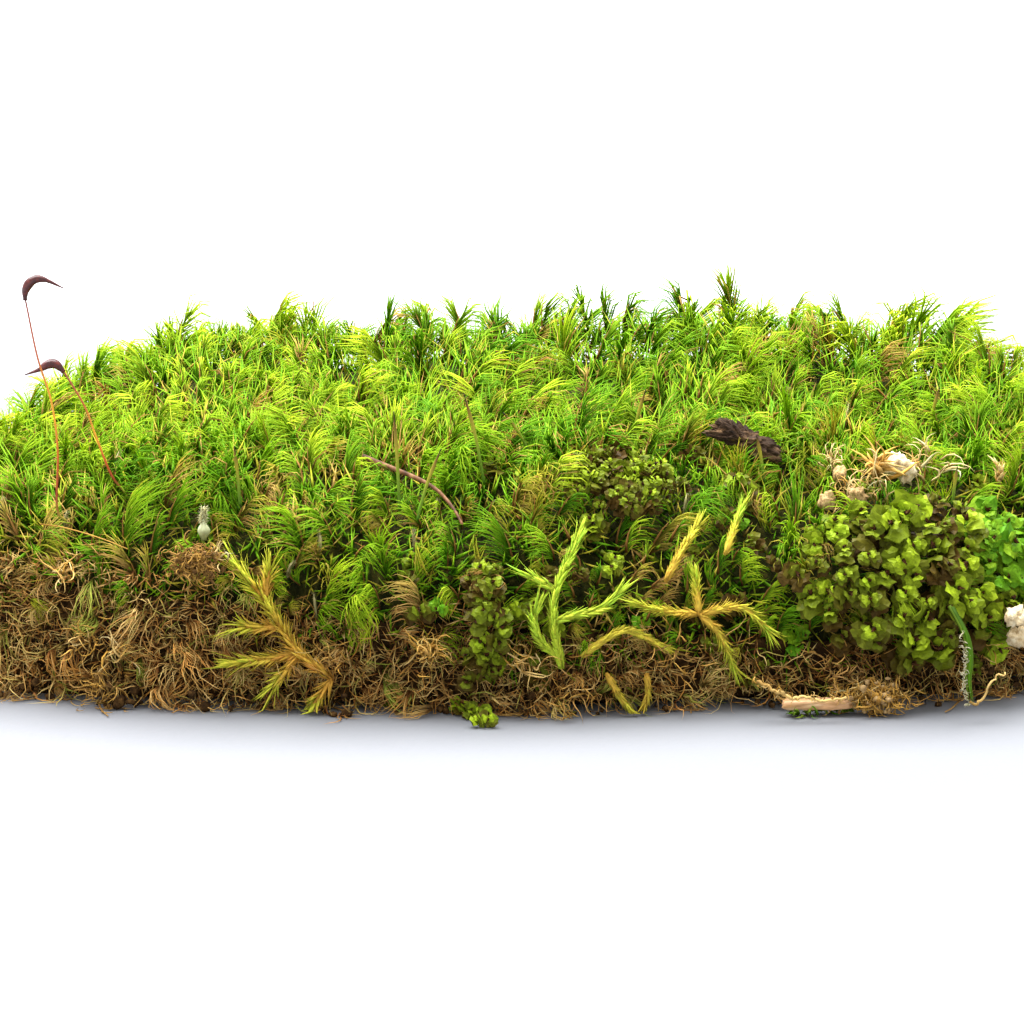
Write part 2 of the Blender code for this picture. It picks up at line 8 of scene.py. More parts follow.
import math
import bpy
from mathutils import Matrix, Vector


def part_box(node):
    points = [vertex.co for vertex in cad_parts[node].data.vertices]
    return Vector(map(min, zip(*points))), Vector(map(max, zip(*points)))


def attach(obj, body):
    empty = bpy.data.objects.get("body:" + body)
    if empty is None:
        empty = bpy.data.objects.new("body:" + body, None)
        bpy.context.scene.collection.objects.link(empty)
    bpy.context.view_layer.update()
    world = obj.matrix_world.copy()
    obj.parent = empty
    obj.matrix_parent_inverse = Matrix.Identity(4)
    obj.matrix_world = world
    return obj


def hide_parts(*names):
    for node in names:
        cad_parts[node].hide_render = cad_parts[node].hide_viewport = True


bl_info = {
    "name": "Moss Clump",
    "version": (1, 0, 0),
    "blender": (4, 5, 0),
    "location": "3D Viewport > Sidebar > Moss",
    "description": "Grows the leaves and threads of a moss clump on its plain solids",
    "category": "Add Mesh",
}

from functools import cache

import bpy
import numpy as np
from bpy.props import FloatProperty, FloatVectorProperty, IntProperty, PointerProperty
from mathutils import Euler

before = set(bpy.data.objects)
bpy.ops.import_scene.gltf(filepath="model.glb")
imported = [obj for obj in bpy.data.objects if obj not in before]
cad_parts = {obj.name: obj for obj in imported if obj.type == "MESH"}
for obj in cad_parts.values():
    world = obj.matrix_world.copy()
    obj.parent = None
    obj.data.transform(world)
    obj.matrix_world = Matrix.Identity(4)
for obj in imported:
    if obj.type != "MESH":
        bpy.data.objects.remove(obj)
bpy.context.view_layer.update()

MM = 0.001
GOLDEN_TURN = 2.39996  # radians from one leaf to the next up a stem
LEAST_HEIGHT = 0.2 * MM  # of the middle of a thread that lies on the floor
REACH = 2.4 * MM  # how far around a place the surface under the shoots is smoothed
BACK_FROM = 3 * MM  # along Y; behind this the clump has fewer and plainer leaves
LOWEST_TONE, HIGHEST_TONE = 0.03, 0.97  # of dead threads and litter
STREAKS = (420.0, 5.0, 1.0)  # cells of a leaf's streaks across its map, and along the leaf

# The camera: where it stands, how far down it looks and its focal length on a 36 mm sensor.
CAMERA_PLACE = (0.0, -446.09 * MM, 107.25 * MM)
CAMERA_PITCH = 12.0
CAMERA_LENS = 147.66
PICTURE = 1024  # pixels along a side of the picture
SENSOR = 36.0

# The stage, in metres: the soft light, and how far the floor reaches each way.
LAMP_PLACE = (-0.2, 0.2, 0.95)
LAMP_SIZE = (1.3, 1.1)
FLOOR_EDGE = 3.0

PATCHES = ("liverwort_right", "liverwort_middle", "liverwort_low")
SPRIGS = ("golden_shoot", "lime_shoot", "olive_shoot", "curved_shoot", "upright_shoot_left",
          "upright_shoot_right", "short_shoot_left", "short_shoot_right")


# -------------------- sizes and directions


def linear(hex_colour):
    """An sRGB hex colour as linear red, green and blue."""
    parts = np.array([int(hex_colour[i:i + 2], 16) for i in (1, 3, 5)]) / 255
    return tuple(np.where(parts <= 0.04045, parts / 12.92, ((parts + 0.055) / 1.055) ** 2.4))


def unit(ways):
    """Directions of length one."""
    return ways / np.maximum(np.linalg.norm(ways, axis=-1, keepdims=True), 1e-12)


def sideways(ways, wish):
    """The wished directions with what runs along these ways taken out, at length one."""
    return unit(wish - (wish * ways).sum(-1, keepdims=True) * ways)


def smooth(t):
    """0 below 0 and 1 above 1, with a soft start and end between."""
    t = np.clip(t, 0, 1)
    return t * t * (3 - 2 * t)


def grows(values, start, end):
    """0 at one place and 1 at another, both in millimetres, with a soft start and end between them."""
    return smooth((values - start * MM) / ((end - start) * MM))


def waves(points, size, seed, count=7):
    """Smooth noise of about -1 to 1: sine waves of about this length in many directions, added up."""
    draw = np.random.default_rng(seed)
    ways = unit(draw.normal(size=(count, 3))) * draw.uniform(0.6, 1.5, (count, 1)) * 2 * np.pi / size
    return np.sin(points @ ways.T + draw.uniform(0, 2 * np.pi, count)).sum(-1) / math.sqrt(count)


# -------------------- the plain solids


def triangles_of(name):
    """Corner points, normals and areas of the triangles of a plain solid."""
    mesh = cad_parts[name].data
    mesh.calc_loop_triangles()
    places = np.empty(len(mesh.vertices) * 3)
    mesh.vertices.foreach_get("co", places)
    index = np.empty(len(mesh.loop_triangles) * 3, np.int32)
    mesh.loop_triangles.foreach_get("vertices", index)
    corners = places.reshape(-1, 3)[index.reshape(-1, 3)]
    cross = np.cross(corners[:, 1] - corners[:, 0], corners[:, 2] - corners[:, 0])
    area = np.linalg.norm(cross, axis=1) / 2
    return corners, unit(cross), area


def strewn(corners, area, count, draw):
    """Points strewn evenly over triangles, a triangle by its area and a point in it by two shares, and the
    index of each point's triangle."""
    chosen = draw.choice(len(area), count, p=area / area.sum())
    a, b = draw.random((2, count, 1))
    root = np.sqrt(a)
    picked = corners[chosen]
    return picked[:, 0] * (1 - root) + picked[:, 1] * root * (1 - b) + picked[:, 2] * root * b, chosen


def cloud_on(corners, normals, area, count):
    """A cloud of points strewn evenly over triangles, with the normal at each."""
    points, owner = strewn(corners, area, count, np.random.default_rng(1))
    return points, normals[owner]


def portions(points):
    """Points in portions of about two hundred, to keep tables of distances small."""
    return np.array_split(points, max(1, len(points) // 200))


def calmed(points, cloud, reach):
    """The smooth surface under a rough one, which is given as a cloud of points with normals. For each point
    the cloud is weighed by a bell curve of its distance; the point is then set on the plane through the mean
    place of the cloud, square to its mean normal."""
    spots, normals = cloud
    places, facing = [], []
    for few in portions(points):
        apart = (few**2).sum(1)[:, None] + (spots**2).sum(1) - 2 * few @ spots.T
        weight = np.exp((apart.min(1, keepdims=True) - apart) / (2 * reach * reach))
        weight /= weight.sum(1, keepdims=True)
        normal = unit(weight @ normals)
        over = ((few - weight @ spots) * normal).sum(1, keepdims=True)
        places.append(few - over * normal)
        facing.append(normal)
    return np.concatenate(places), np.concatenate(facing)


def spaced(points, gap):
    """Indexes of points, taken in order, that keep their own gap from each one taken before."""
    kept = [0]
    for i in range(1, len(points)):
        if ((points[kept] - points[i]) ** 2).sum(1).min() > gap[i] ** 2:
            kept.append(i)
    return np.array(kept)


def corners_of(*names):
    """The corners of these solids, each one once."""
    near = np.concatenate([triangles_of(name)[0].reshape(-1, 3) for name in names])
    return np.unique(np.round(near, 5), axis=0)


def clearance(points, places):
    """How far each point is from the nearest of these places."""
    square = [((few[:, None] - places) ** 2).sum(-1).min(1) for few in portions(points)]
    return np.sqrt(np.concatenate(square))


def sights(spots):
    """The directions of the camera's lines of sight through these spots of the picture, in pixels."""
    pitch = math.radians(CAMERA_PITCH)
    across, down = (np.asarray(spots, float) - PICTURE / 2).T[:, :, None]
    return unit(np.array([0, math.cos(pitch), -math.sin(pitch)]) * CAMERA_LENS / SENSOR * PICTURE
                + np.array([1.0, 0, 0]) * across - np.array([0, math.sin(pitch), math.cos(pitch)]) * down)


def seen_on(spots, axis, level):
    """The places that the camera sees at these spots on a plane: a level along an axis of the frame."""
    ways = sights(spots)
    return np.array(CAMERA_PLACE) + ways * ((level - CAMERA_PLACE[axis]) / ways[:, axis])[:, None]


def seen_at(spots, places):
    """For each spot of the picture, in pixels, the index of the place that the camera sees there: the
    nearest to the camera of those that lie close to its line of sight."""
    to = places - np.array(CAMERA_PLACE)
    depth = to @ sights(spots).T
    off = np.sqrt(np.maximum((to**2).sum(1)[:, None] - depth**2, 0))
    return np.argmin(off + 0.12 * depth, axis=0)


# -------------------- closed surfaces


def arcs(base, ahead, side, length, bend, rings):
    """Lines that bend evenly. A line sets out along ahead and turns by bend towards side over its length,
    so it is the integral of the cosine and sine of an angle that grows evenly."""
    t = np.linspace(0, 1, rings)[:, None]
    angle = bend[:, None, None] * t
    safe = np.where(np.abs(bend) < 1e-3, 1e-3, bend)[:, None, None]
    turned = safe * t
    path = np.sin(turned) / safe * ahead[:, None] + (1 - np.cos(turned)) / safe * side[:, None]
    along = np.cos(angle) * ahead[:, None] + np.sin(angle) * side[:, None]
    return base[:, None] + length[:, None, None] * path, along


def crimped(path, across, depth, turns, draw):
    """Lines with a crimp: each is pushed across itself by a sine wave that grows towards its tip."""
    t = np.linspace(0, 1, path.shape[1])
    phase = draw.uniform(0, 2 * np.pi, (len(path), 1))
    push = depth * t * np.sin(2 * np.pi * turns * t + phase)
    return path + push[..., None] * across[:, None]


def blades(path, along, across, half_width, keel, tone, taper=1.1):
    """Slender closed leaves. Each ring of a leaf is a triangle of two edges and a keel. Its width grows
    evenly from the root, times the share of the length that is left, raised to the taper: the greater the
    taper, the finer the tip. The map holds the leaf's tone across and its length upwards."""
    count, rings = path.shape[:2]
    t = np.linspace(0, 1, rings)
    swell = ((0.85 + 0.75 * t) * (1 - t) ** taper)[:-1, None]
    across = sideways(along, np.broadcast_to(across[:, None], along.shape))
    under = np.cross(along, across)[:, :-1]
    reach = across[:, :-1] * (half_width[:, None, None] * swell)
    low = under * (keel[:, None, None] * swell)
    body, tip = path[:, :-1], path[:, -1:]
    rows = np.stack((body - reach, body + reach, body + low), axis=2).reshape(count, -1, 3)
    points = np.concatenate((rows, tip), axis=1)
    walls = []
    for ring in range(rings - 2):
        for a, b in ((0, 1), (1, 2), (2, 0)):
            low_a, low_b, high_a, high_b = 3 * ring + a, 3 * ring + b, 3 * ring + 3 + a, 3 * ring + 3 + b
            walls += [(low_a, low_b, high_b), (low_a, high_b, high_a)]
    last = 3 * (rings - 2)
    walls += [(last + a, last + b, last + 3) for a, b in ((0, 1), (1, 2), (2, 0))]
    walls.append((0, 2, 1))
    up = np.append(np.repeat(t[:-1], 3), 1.0) * 0.96 + 0.02
    aside = np.append(np.tile((-0.004, 0.004, 0.0), rings - 1), 0.0)
    where = np.stack(np.broadcast_arrays(tone[:, None] + aside, up), axis=-1)
    return repeated(points, np.array(walls), where)


def repeated(points, faces, where):
    """Many copies of one small mesh: points and map places per copy, with the same faces in each."""
    count, size = points.shape[:2]
    index = (faces + (np.arange(count) * size)[:, None, None]).reshape(-1, 3)
    return points.reshape(-1, 3), index, where.reshape(-1, 2)[index]


def skin(points, up, tone):
    """A closed skin over rings of points, from a first point to a last one. Its map runs around and up."""
    rings, sides = points.shape[:2]
    low, high = points[:1].mean(1), points[-1:].mean(1)
    grid = np.arange(rings * sides).reshape(rings, sides)
    a, b = grid[:-1], np.roll(grid[:-1], -1, axis=1)
    c, d = np.roll(grid[1:], -1, axis=1), grid[1:]
    walls = np.stack((a, b, c, a, c, d), axis=-1).reshape(-1, 3)
    foot, top = rings * sides, rings * sides + 1
    ends = [np.stack((np.full(sides, foot), np.roll(grid[0], -1), grid[0]), axis=-1),
            np.stack((np.full(sides, top), grid[-1], np.roll(grid[-1], -1)), axis=-1)]
    faces = np.concatenate((walls, *ends))
    height = np.concatenate((np.repeat(up, sides), up[:1], up[-1:]))
    round_share = np.concatenate((np.tile(np.linspace(0, 1, sides, endpoint=False), rings), (0.5, 0.5)))
    spread = 0.004 * np.sin(2 * np.pi * round_share)
    where = np.stack((tone + spread, height * 0.96 + 0.02), axis=-1)
    return np.concatenate((points.reshape(-1, 3), low, high)), faces, where[faces]


def line_through(knots, steps):
    """Points of a smooth line through the knots (Catmull-Rom), this many to each stretch."""
    knots = np.asarray(knots, float)
    ends = np.concatenate((2 * knots[:1] - knots[1:2], knots, 2 * knots[-1:] - knots[-2:-1]))
    a, b, c, d = (ends[i:len(ends) - 3 + i, None] for i in range(4))
    t = (np.arange(steps) / steps)[:, None]
    line = b + 0.5 * ((c - a) * t + (2 * a - 5 * b + 4 * c - d) * t**2 + (3 * b - a - 3 * c + d) * t**3)
    return np.concatenate((line.reshape(-1, 3), knots[-1:]))


def evenly(line, spacing):
    """Places along a line at an even spacing, their directions and how far along they are, 0 to 1."""
    step = np.linalg.norm(np.diff(line, axis=0), axis=1)
    run = np.concatenate(((0,), np.cumsum(step)))
    count = max(3, round(run[-1] / spacing))
    at = np.linspace(0, run[-1], count)
    places = np.stack([np.interp(at, run, line[:, i]) for i in range(3)], axis=-1)
    return places, unit(np.gradient(places, axis=0)), at / run[-1]


def tube(line, radius, sides, tone=0.5, ribs=0, rib_depth=0.0):
    """A round stem: circles of a radius that changes along a line, with a closed end at each side. Ribs
    push the circles out and in around the stem."""
    places, along, share = evenly(line, 0.25 * MM)
    start = np.array([0.31, 0.82, 0.47])
    across = sideways(along, np.broadcast_to(start, along.shape))
    over = np.cross(along, across)
    turn = np.arange(sides) / sides * 2 * np.pi
    size = radius(share)[:, None] * (1 + rib_depth * np.cos(ribs * turn))
    ring = np.cos(turn)[:, None] * across[:, None] + np.sin(turn)[:, None] * over[:, None]
    return skin(places[:, None] + size[..., None] * ring, share, tone)


def lumpy(place, half, turn, squareness, rough, size, seed, detail=(36, 24)):
    """A broken lump: a ball mixed with a box, which is the ball's coordinates raised to a power and drawn out
    to a rounded cube; the mix is stretched to its half sizes, scaled by noise of three sizes, turned about
    its three axes and set at its place."""
    around, upwards = detail
    level = np.linspace(-1, 1, upwards + 2)[1:-1] * np.pi / 2
    turn_round = np.arange(around) / around * 2 * np.pi
    flat = np.stack((np.cos(turn_round), np.sin(turn_round)), axis=-1)
    ball = np.concatenate((np.cos(level)[:, None, None] * flat,
                           np.broadcast_to(np.sin(level)[:, None, None], (upwards, around, 1))), axis=-1)
    boxy = np.sign(ball) * np.abs(ball) ** squareness
    boxy = boxy / np.maximum(np.linalg.norm(boxy, ord=6, axis=-1, keepdims=True), 1e-9)
    shape = ball * (1 - squareness) + boxy * squareness
    sized = shape * np.asarray(half)
    for share, scale in ((1.0, 1.0), (0.45, 0.42), (0.22, 0.19)):
        sized = sized * (1 + rough * share * waves(sized, size * scale, seed)[..., None])
    return skin(sized @ rotation(turn).T + np.asarray(place), (level / np.pi + 0.5), 0.5)


def rotation(turn):
    """The matrix that turns by these degrees about X, then Y, then Z."""
    return np.array(Euler(np.radians(turn)).to_matrix())


def lobes(base, ahead, face, length, width, cup, ruffle, tone, grid, draw):
    """Rounded leaves of liverwort. A square grid is drawn out to a disc, each coordinate times the root of
    one less half the square of the other. Its rim is moved by three and five waves round it; the square of
    the radius bends it into a cup, and, times four waves round it, ruffles it. One fan from a point under its
    middle closes it. The map holds the leaf's tone across, and upwards how far from its base a place is."""
    columns, rows = grid
    a, b = np.meshgrid(np.linspace(-1, 1, columns), np.linspace(-1, 1, rows))
    x, y = (a * np.sqrt(1 - b * b / 2)).ravel(), (b * np.sqrt(1 - a * a / 2)).ravel()
    radius, angle = np.hypot(x, y), np.arctan2(y, x)
    phase = draw.uniform(0, 2 * np.pi, (3, len(base), 1))
    rim = 1 + 0.16 * np.sin(3 * angle + phase[0]) + 0.12 * np.sin(5 * angle + phase[1])
    high = cup[:, None] * radius**2 + ruffle[:, None] * radius**2 * np.sin(4 * angle + phase[2])
    across = np.cross(ahead, face)
    flat_x = (x * rim * width[:, None])[..., None] * across[:, None]
    flat_y = ((y * rim + 1) / 2 * length[:, None])[..., None] * ahead[:, None]
    top = base[:, None] + flat_x + flat_y + high[..., None] * face[:, None]
    low = (base + 0.5 * length[:, None] * ahead - 0.14 * MM * face)[:, None]
    index = np.arange(columns * rows).reshape(rows, columns)
    quads = np.stack((index[:-1, :-1], index[:-1, 1:], index[1:, 1:], index[1:, :-1]), -1).reshape(-1, 4)
    border = np.concatenate((index[0], index[1:, -1], index[-1, -2::-1], index[-2:0:-1, 0]))
    under = np.full(len(border), columns * rows)
    faces = np.concatenate((quads[:, [0, 1, 2]], quads[:, [0, 2, 3]],
                            np.stack((np.roll(border, -1), border, under), axis=-1)))
    up = np.append(np.clip((y + 1) / 2 * 0.6 + 0.4 * radius, 0, 1), 0.2) * 0.96 + 0.02
    aside = np.append(x, 0) * 0.006
    where = np.stack(np.broadcast_arrays(tone[:, None] + aside, up), axis=-1)
    return repeated(np.concatenate((top, low), axis=1), faces, where)


def piece(name, parts, finish, slot, *stands_for, smooth_faces=True):
    """Joins surfaces into one piece, which rides on the clump in place of plain solids."""
    sizes = np.cumsum([0] + [len(points) for points, faces, where in parts])
    points = np.concatenate([points for points, faces, where in parts])
    faces = np.concatenate([faces + first for (_, faces, _), first in zip(parts, sizes)]).astype(np.int32)
    where = np.concatenate([where for points, faces, where in parts])
    mesh = bpy.data.meshes.new(name)
    mesh.vertices.add(len(points))
    mesh.vertices.foreach_set("co", points.astype(np.float32).ravel())
    mesh.loops.add(faces.size)
    mesh.loops.foreach_set("vertex_index", faces.ravel())
    mesh.polygons.add(len(faces))
    mesh.polygons.foreach_set("loop_start", np.arange(0, faces.size, 3, dtype=np.int32))
    mesh.polygons.foreach_set("use_smooth", np.full(len(faces), smooth_faces))
    mesh.update(calc_edges=True)
    chart = mesh.uv_layers.new(name="OFBake")
    chart.data.foreach_set("uv", where.astype(np.float32).ravel())
    mesh.materials.append(finish)
    made = bpy.data.objects.new(name, mesh)
    bpy.context.scene.collection.objects.link(made)
    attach(made, "root")
    if stands_for:
        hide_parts(*stands_for)


# -------------------- shoots


# Where the green gives way to the brown: places along X and the heights there, in millimetres.
GREEN_FROM = ((-71, 10), (-51, 12), (-38, 11.5), (-30, 11), (-20, 9), (-12, 7.5), (0, 6.5), (8, 6.3), (16, 5),
              (24, 4), (30, 4.5), (50, 6), (71, 6))


def greenness(points):
    """How far above the border of green and brown each point is, in metres. The border wanders in waves of
    two lengths."""
    x, z = np.array(GREEN_FROM).T * MM
    wander = 1.2 * waves(points, 9 * MM, 2) + 0.9 * waves(points, 4 * MM, 6)
    return points[:, 2] - np.interp(points[:, 0], x, z) + MM * wander


@cache
def outside():
    """The triangles of the turf and of the mat's side, without the flat undersides and the faces between."""
    kept = []
    for name, level in (("moss_turf", 1.1), ("brown_mat", 0.5)):
        corners, normals, area = triangles_of(name)
        outer = (normals[:, 2] > -0.6) & (normals[:, 2] < level)
        kept.append((corners[outer], normals[outer], area[outer]))
    return tuple(np.concatenate(part) for part in zip(*kept))


@cache
def shell():
    """A cloud of points on the outside of the turf and the mat, with the normal at each."""
    return cloud_on(*outside(), 9000)


@cache
def seats(gap, gap_behind):
    """Where shoots stand on the outside of the clump: places and normals of its calmed surface, the share of
    a full size that each shoot has room for, and how far above the border of green and brown it stands, give
    or take a millimetre. Beside loose pieces shoots are small and close."""
    draw = np.random.default_rng(3)
    corners, normals, area = outside()
    rough = strewn(corners, area, 14000, draw)[0]
    rough = rough[spaced(rough, np.full(len(rough), 0.62 * gap))]
    loose = corners_of(*SPRIGS, "pine_needle", "red_litter", "white_bud", "wood_splinter")
    room = np.clip(clearance(rough, loose) / (3.2 * MM), 0.58, 1)
    behind, far = grows(rough[:, 1], -4, 6), grows(rough[:, 1], 30, 36)
    wide = gap + (gap_behind - gap) * behind + 1.1 * MM * far
    kept = spaced(rough, wide * (0.25 + 0.75 * room))
    places, facing = calmed(rough[kept], shell(), REACH)
    free = (clearance(places, corners_of(*PATCHES)) > 1.1 * MM) & (
        clearance(places, corners_of("bark_chip")) > 1.2 * MM)
    places, facing = places[free], facing[free]
    return places, facing, room[kept][free], greenness(places) + draw.normal(0, 1.4 * MM, len(places))


def swirl(places, axis, draw):
    """The side that each shoot sweeps to: a direction across its axis that turns slowly from place to place,
    with some of chance."""
    turn = 2.2 * waves(places, 30 * MM, 11) + 1.1 * waves(places, 10 * MM, 12)
    turn = turn + draw.normal(0, 0.6, len(places))
    return sideways(axis, np.stack((np.cos(turn) + 0.3, np.sin(turn) - 0.2, 0.3 * np.sin(3 * turn)), axis=-1))


def shoots(seat, axis, sweep, size, count, style, draw):
    """The leaves of many shoots at once. On a shoot they climb the stem in a spiral, a golden turn from leaf
    to leaf, and the angle at which they open changes evenly from its foot to its tip. Each one is an arc that
    bends over to the side that its shoot sweeps to, so that a shoot looks combed. Returns the leaves' lines
    and directions, the direction across each leaf, how far up its stem it sits and its shoot's index."""
    shoot = np.repeat(np.arange(len(seat)), count)
    step = np.arange(len(shoot)) - (np.cumsum(count) - count)[shoot]
    share = (step + draw.uniform(0.2, 0.8, len(shoot))) / count[shoot]
    around = step * GOLDEN_TURN + draw.uniform(0, 2 * np.pi, len(seat))[shoot]
    first = sideways(axis, np.broadcast_to((0.3, 0.5, 0.8), axis.shape))
    second = np.cross(axis, first)
    radial = np.cos(around)[:, None] * first[shoot] + np.sin(around)[:, None] * second[shoot]
    lean = style["lopsided"] * np.exp(draw.normal(0, 0.45, (len(seat), 1)))
    radial = unit(radial + lean[shoot] * sweep[shoot])
    stem = style["stem"] * size[shoot] * share
    base = seat[shoot] + stem[:, None] * axis[shoot] + (0.35 * stem * share)[:, None] * sweep[shoot]
    open_by = style["open_foot"] + (style["open_tip"] - style["open_foot"]) * share
    open_by = np.radians(open_by * draw.uniform(0.84, 1.16, len(shoot)))[:, None]
    ahead = unit(np.cos(open_by) * axis[shoot] + np.sin(open_by) * radial)
    side = sideways(ahead, sweep[shoot] + 0.35 * radial + style["sag"] * np.array([0, 0, -1.0])
                    + draw.normal(0, 0.22, base.shape))
    length = style["leaf"] * size[shoot] * (0.74 + 0.36 * np.sin(np.pi * share))
    length = length * draw.uniform(0.72, 1.18, len(shoot))
    curl = np.exp(draw.normal(0.05, 0.42, len(seat)))[shoot]
    bend = np.radians(style["bend"]) * curl * draw.uniform(0.85, 1.15, len(shoot))
    path, along = arcs(base, ahead, side, length, bend, style["rings"])
    across = np.cross(ahead, side)
    roll = draw.normal(0, 0.3, len(shoot))[:, None]
    across = np.cos(roll) * across + np.sin(roll) * side
    path = crimped(path, across, style["crimp"], 1.1, draw)
    path[..., 2] = np.maximum(path[..., 2], LEAST_HEIGHT)
    return path, along, across, share, shoot


def stems(seat, axis, sweep, length, draw):
    """The stems of shoots, each one a slender brown blade that bends with its shoot."""
    side = sideways(axis, sweep)
    path, along = arcs(seat, axis, side, length, np.full(len(seat), 0.5), 4)
    half = draw.uniform(0.14, 0.24, len(seat)) * MM
    return blades(path, along, np.cross(axis, side), half, 1.4 * half, np.full(len(seat), 0.14))


# -------------------- finishes


def add(tree, kind, inputs=(), stops=(), **settings):
    """Adds one node: its settings by name, the stops of its ramp, each a place and a colour, linear or in
    hex, and for each input a value or the output that feeds it."""
    made = tree.nodes.new("ShaderNode" + kind)
    for name, value in settings.items():
        setattr(made, name, value)
    for i, (at, colour) in enumerate(stops):
        place = made.color_ramp.elements
        stop = place[i] if i < 2 else place.new(at)
        stop.position = at
        stop.color = (*(linear(colour) if isinstance(colour, str) else colour), 1)
    for name, value in dict(inputs).items():
        if isinstance(value, bpy.types.NodeSocket):
            tree.links.new(value, made.inputs[name])
        else:
            made.inputs[name].default_value = value
    return made


def new_finish(name):
    """An empty material and its node tree."""
    made = bpy.data.materials.new(name)
    made.use_nodes = True
    made.node_tree.nodes.clear()
    return made, made.node_tree


def leaf_finish(name, families, roughness, glow, root_share=0.55):
    """A finish for leaves that carry their tone and their length in their map. Each family is a tone with
    its colour at the root and at the tip; the darker root colour is partly the leaf's own and partly painted
    shade, for the shade deep inside a shoot. Fine streaks run up the leaf, and some light shines through."""
    made, tree = new_finish(name)
    chart = add(tree, "UVMap", uv_map="OFBake")
    split = add(tree, "SeparateXYZ", {"Vector": chart.outputs["UV"]})
    tone, up = split.outputs["X"], split.outputs["Y"]
    roots = add(tree, "ValToRGB", {"Fac": tone}, [(at, root) for at, root, tip in families])
    tips = add(tree, "ValToRGB", {"Fac": tone}, [(at, tip) for at, root, tip in families])
    # Up the leaf the colour goes from the root colour to the tip colour: the darker root is partly painted
    # shade.
    rise = add(tree, "MapRange", {"Value": up, "From Min": 0.0, "From Max": root_share},
               interpolation_type="SMOOTHSTEP")
    leaf = add(tree, "Mix", {"Factor": rise.outputs["Result"], "A": roots.outputs["Color"],
                             "B": tips.outputs["Color"]}, data_type="RGBA")
    # The map is 0.008 wide across a leaf, so a leaf has about three streaks, each some 0.05 mm wide.
    wide = add(tree, "Mapping", {"Vector": chart.outputs["UV"], "Scale": STREAKS})
    streak = add(tree, "TexNoise", {"Vector": wide.outputs["Vector"], "Scale": 1.0, "Detail": 2.0})
    shade = add(tree, "MapRange", {"Value": streak.outputs["Fac"], "From Min": 0.3, "From Max": 0.7,
                                   "To Min": 0.72, "To Max": 1.22})
    colour = add(tree, "Mix", {"Factor": 1.0, "A": leaf.outputs["Result"], "B": shade.outputs["Result"]},
                 data_type="RGBA", blend_type="MULTIPLY")
    shader = add(tree, "BsdfPrincipled", {"Base Color": colour.outputs["Result"], "Roughness": roughness,
                                          "IOR": 1.45, "Specular IOR Level": 0.1})
    light = add(tree, "BsdfTranslucent", {"Color": colour.outputs["Result"]})
    both = add(tree, "MixShader", {0: glow, 1: shader.outputs["BSDF"], 2: light.outputs["BSDF"]})
    add(tree, "OutputMaterial", {"Surface": both.outputs["Shader"]})
    return made


def grained_finish(name, stops, size, stretch, roughness, bump, bump_size, gloss=0.5):
    """A finish that is the same all through: a noise on object coordinates, drawn out along an axis for
    grain, picks its colour, and a finer one raises its surface."""
    made, tree = new_finish(name)
    spot = add(tree, "TexCoord")
    drawn = add(tree, "Mapping", {"Vector": spot.outputs["Object"], "Scale": stretch})
    noise = add(tree, "TexNoise", {"Vector": drawn.outputs["Vector"], "Scale": 1 / size, "Detail": 6.0,
                                   "Roughness": 0.65})
    colour = add(tree, "ValToRGB", {"Fac": noise.outputs["Fac"]}, stops)
    fine = add(tree, "TexNoise", {"Vector": drawn.outputs["Vector"], "Scale": 1 / bump_size, "Detail": 4.0})
    raised = add(tree, "Bump", {"Height": fine.outputs["Fac"], "Strength": 1.0, "Distance": bump})
    rough = add(tree, "MapRange", {"Value": fine.outputs["Fac"], "To Min": roughness - 0.12,
                                   "To Max": roughness + 0.12})
    shader = add(tree, "BsdfPrincipled", {
        "Base Color": colour.outputs["Color"], "Roughness": rough.outputs["Result"],
        "Normal": raised.outputs["Normal"], "IOR": 1.45, "Specular IOR Level": gloss})
    add(tree, "OutputMaterial", {"Surface": shader.outputs["BSDF"]})
    return made


def stalk_finish(name, stops, roughness, gloss):
    """A finish whose colour changes from the foot of a stalk to its tip, by the height in its map."""
    made, tree = new_finish(name)
    chart = add(tree, "UVMap", uv_map="OFBake")
    up = add(tree, "SeparateXYZ", {"Vector": chart.outputs["UV"]}).outputs["Y"]
    hue = add(tree, "ValToRGB", {"Fac": up}, stops)
    shader = add(tree, "BsdfPrincipled", {"Base Color": hue.outputs["Color"], "Roughness": roughness,
                                          "IOR": 1.5, "Specular IOR Level": gloss})
    add(tree, "OutputMaterial", {"Surface": shader.outputs["BSDF"]})
    return made


def colour_of(name, description, hex_colour):
    """A colour that the user can change."""
    return FloatVectorProperty(name=name, description=description, subtype="COLOR", size=3, min=0, max=1,
                               default=linear(hex_colour))


def length_of(name, description, millimetres):
    """A length that the user can change."""
    return FloatProperty(name=name, description=description, unit="LENGTH", subtype="DISTANCE", min=0,
                         default=millimetres * MM, precision=5)


def count_of(name, description, default, least=1):
    """A number of things that the user can change."""
    return IntProperty(name=name, description=description, default=default, min=least)


# -------------------- settings


class MossTurfSettings(bpy.types.PropertyGroup):
    """Sizes and colours of the green turf."""
    gap: length_of("Shoot gap", "Least distance between two shoots of the front", 2.3)
    gap_behind: length_of("Shoot gap behind", "Least distance between two shoots of the back", 2.95)
    leaf: length_of("Leaf length", "Length of a full leaf", 5.0)
    width: length_of("Leaf width", "Width of a leaf at its widest", 0.17)
    leaves: count_of("Leaves", "Leaves on a shoot of the sides", 40, 3)
    leaves_top: count_of("Leaves on top", "Leaves on a shoot of the top", 29, 3)
    under: count_of("Short leaves", "Short leaves in the shade below the shoots", 17000)
    between: count_of("Leaves between", "Short leaves between the shoots of the top and the back", 9500)
    lime: colour_of("Lime", "Tips of the youngest leaves", "#d6e838")
    green: colour_of("Green", "Tips of most leaves", "#a0c822")
    deep: colour_of("Deep green", "Tips of shaded leaves", "#68a816")
    olive: colour_of("Olive", "Ageing leaves", "#c4bc36")
    dead: colour_of("Dead", "Dead leaves", "#d6b566")


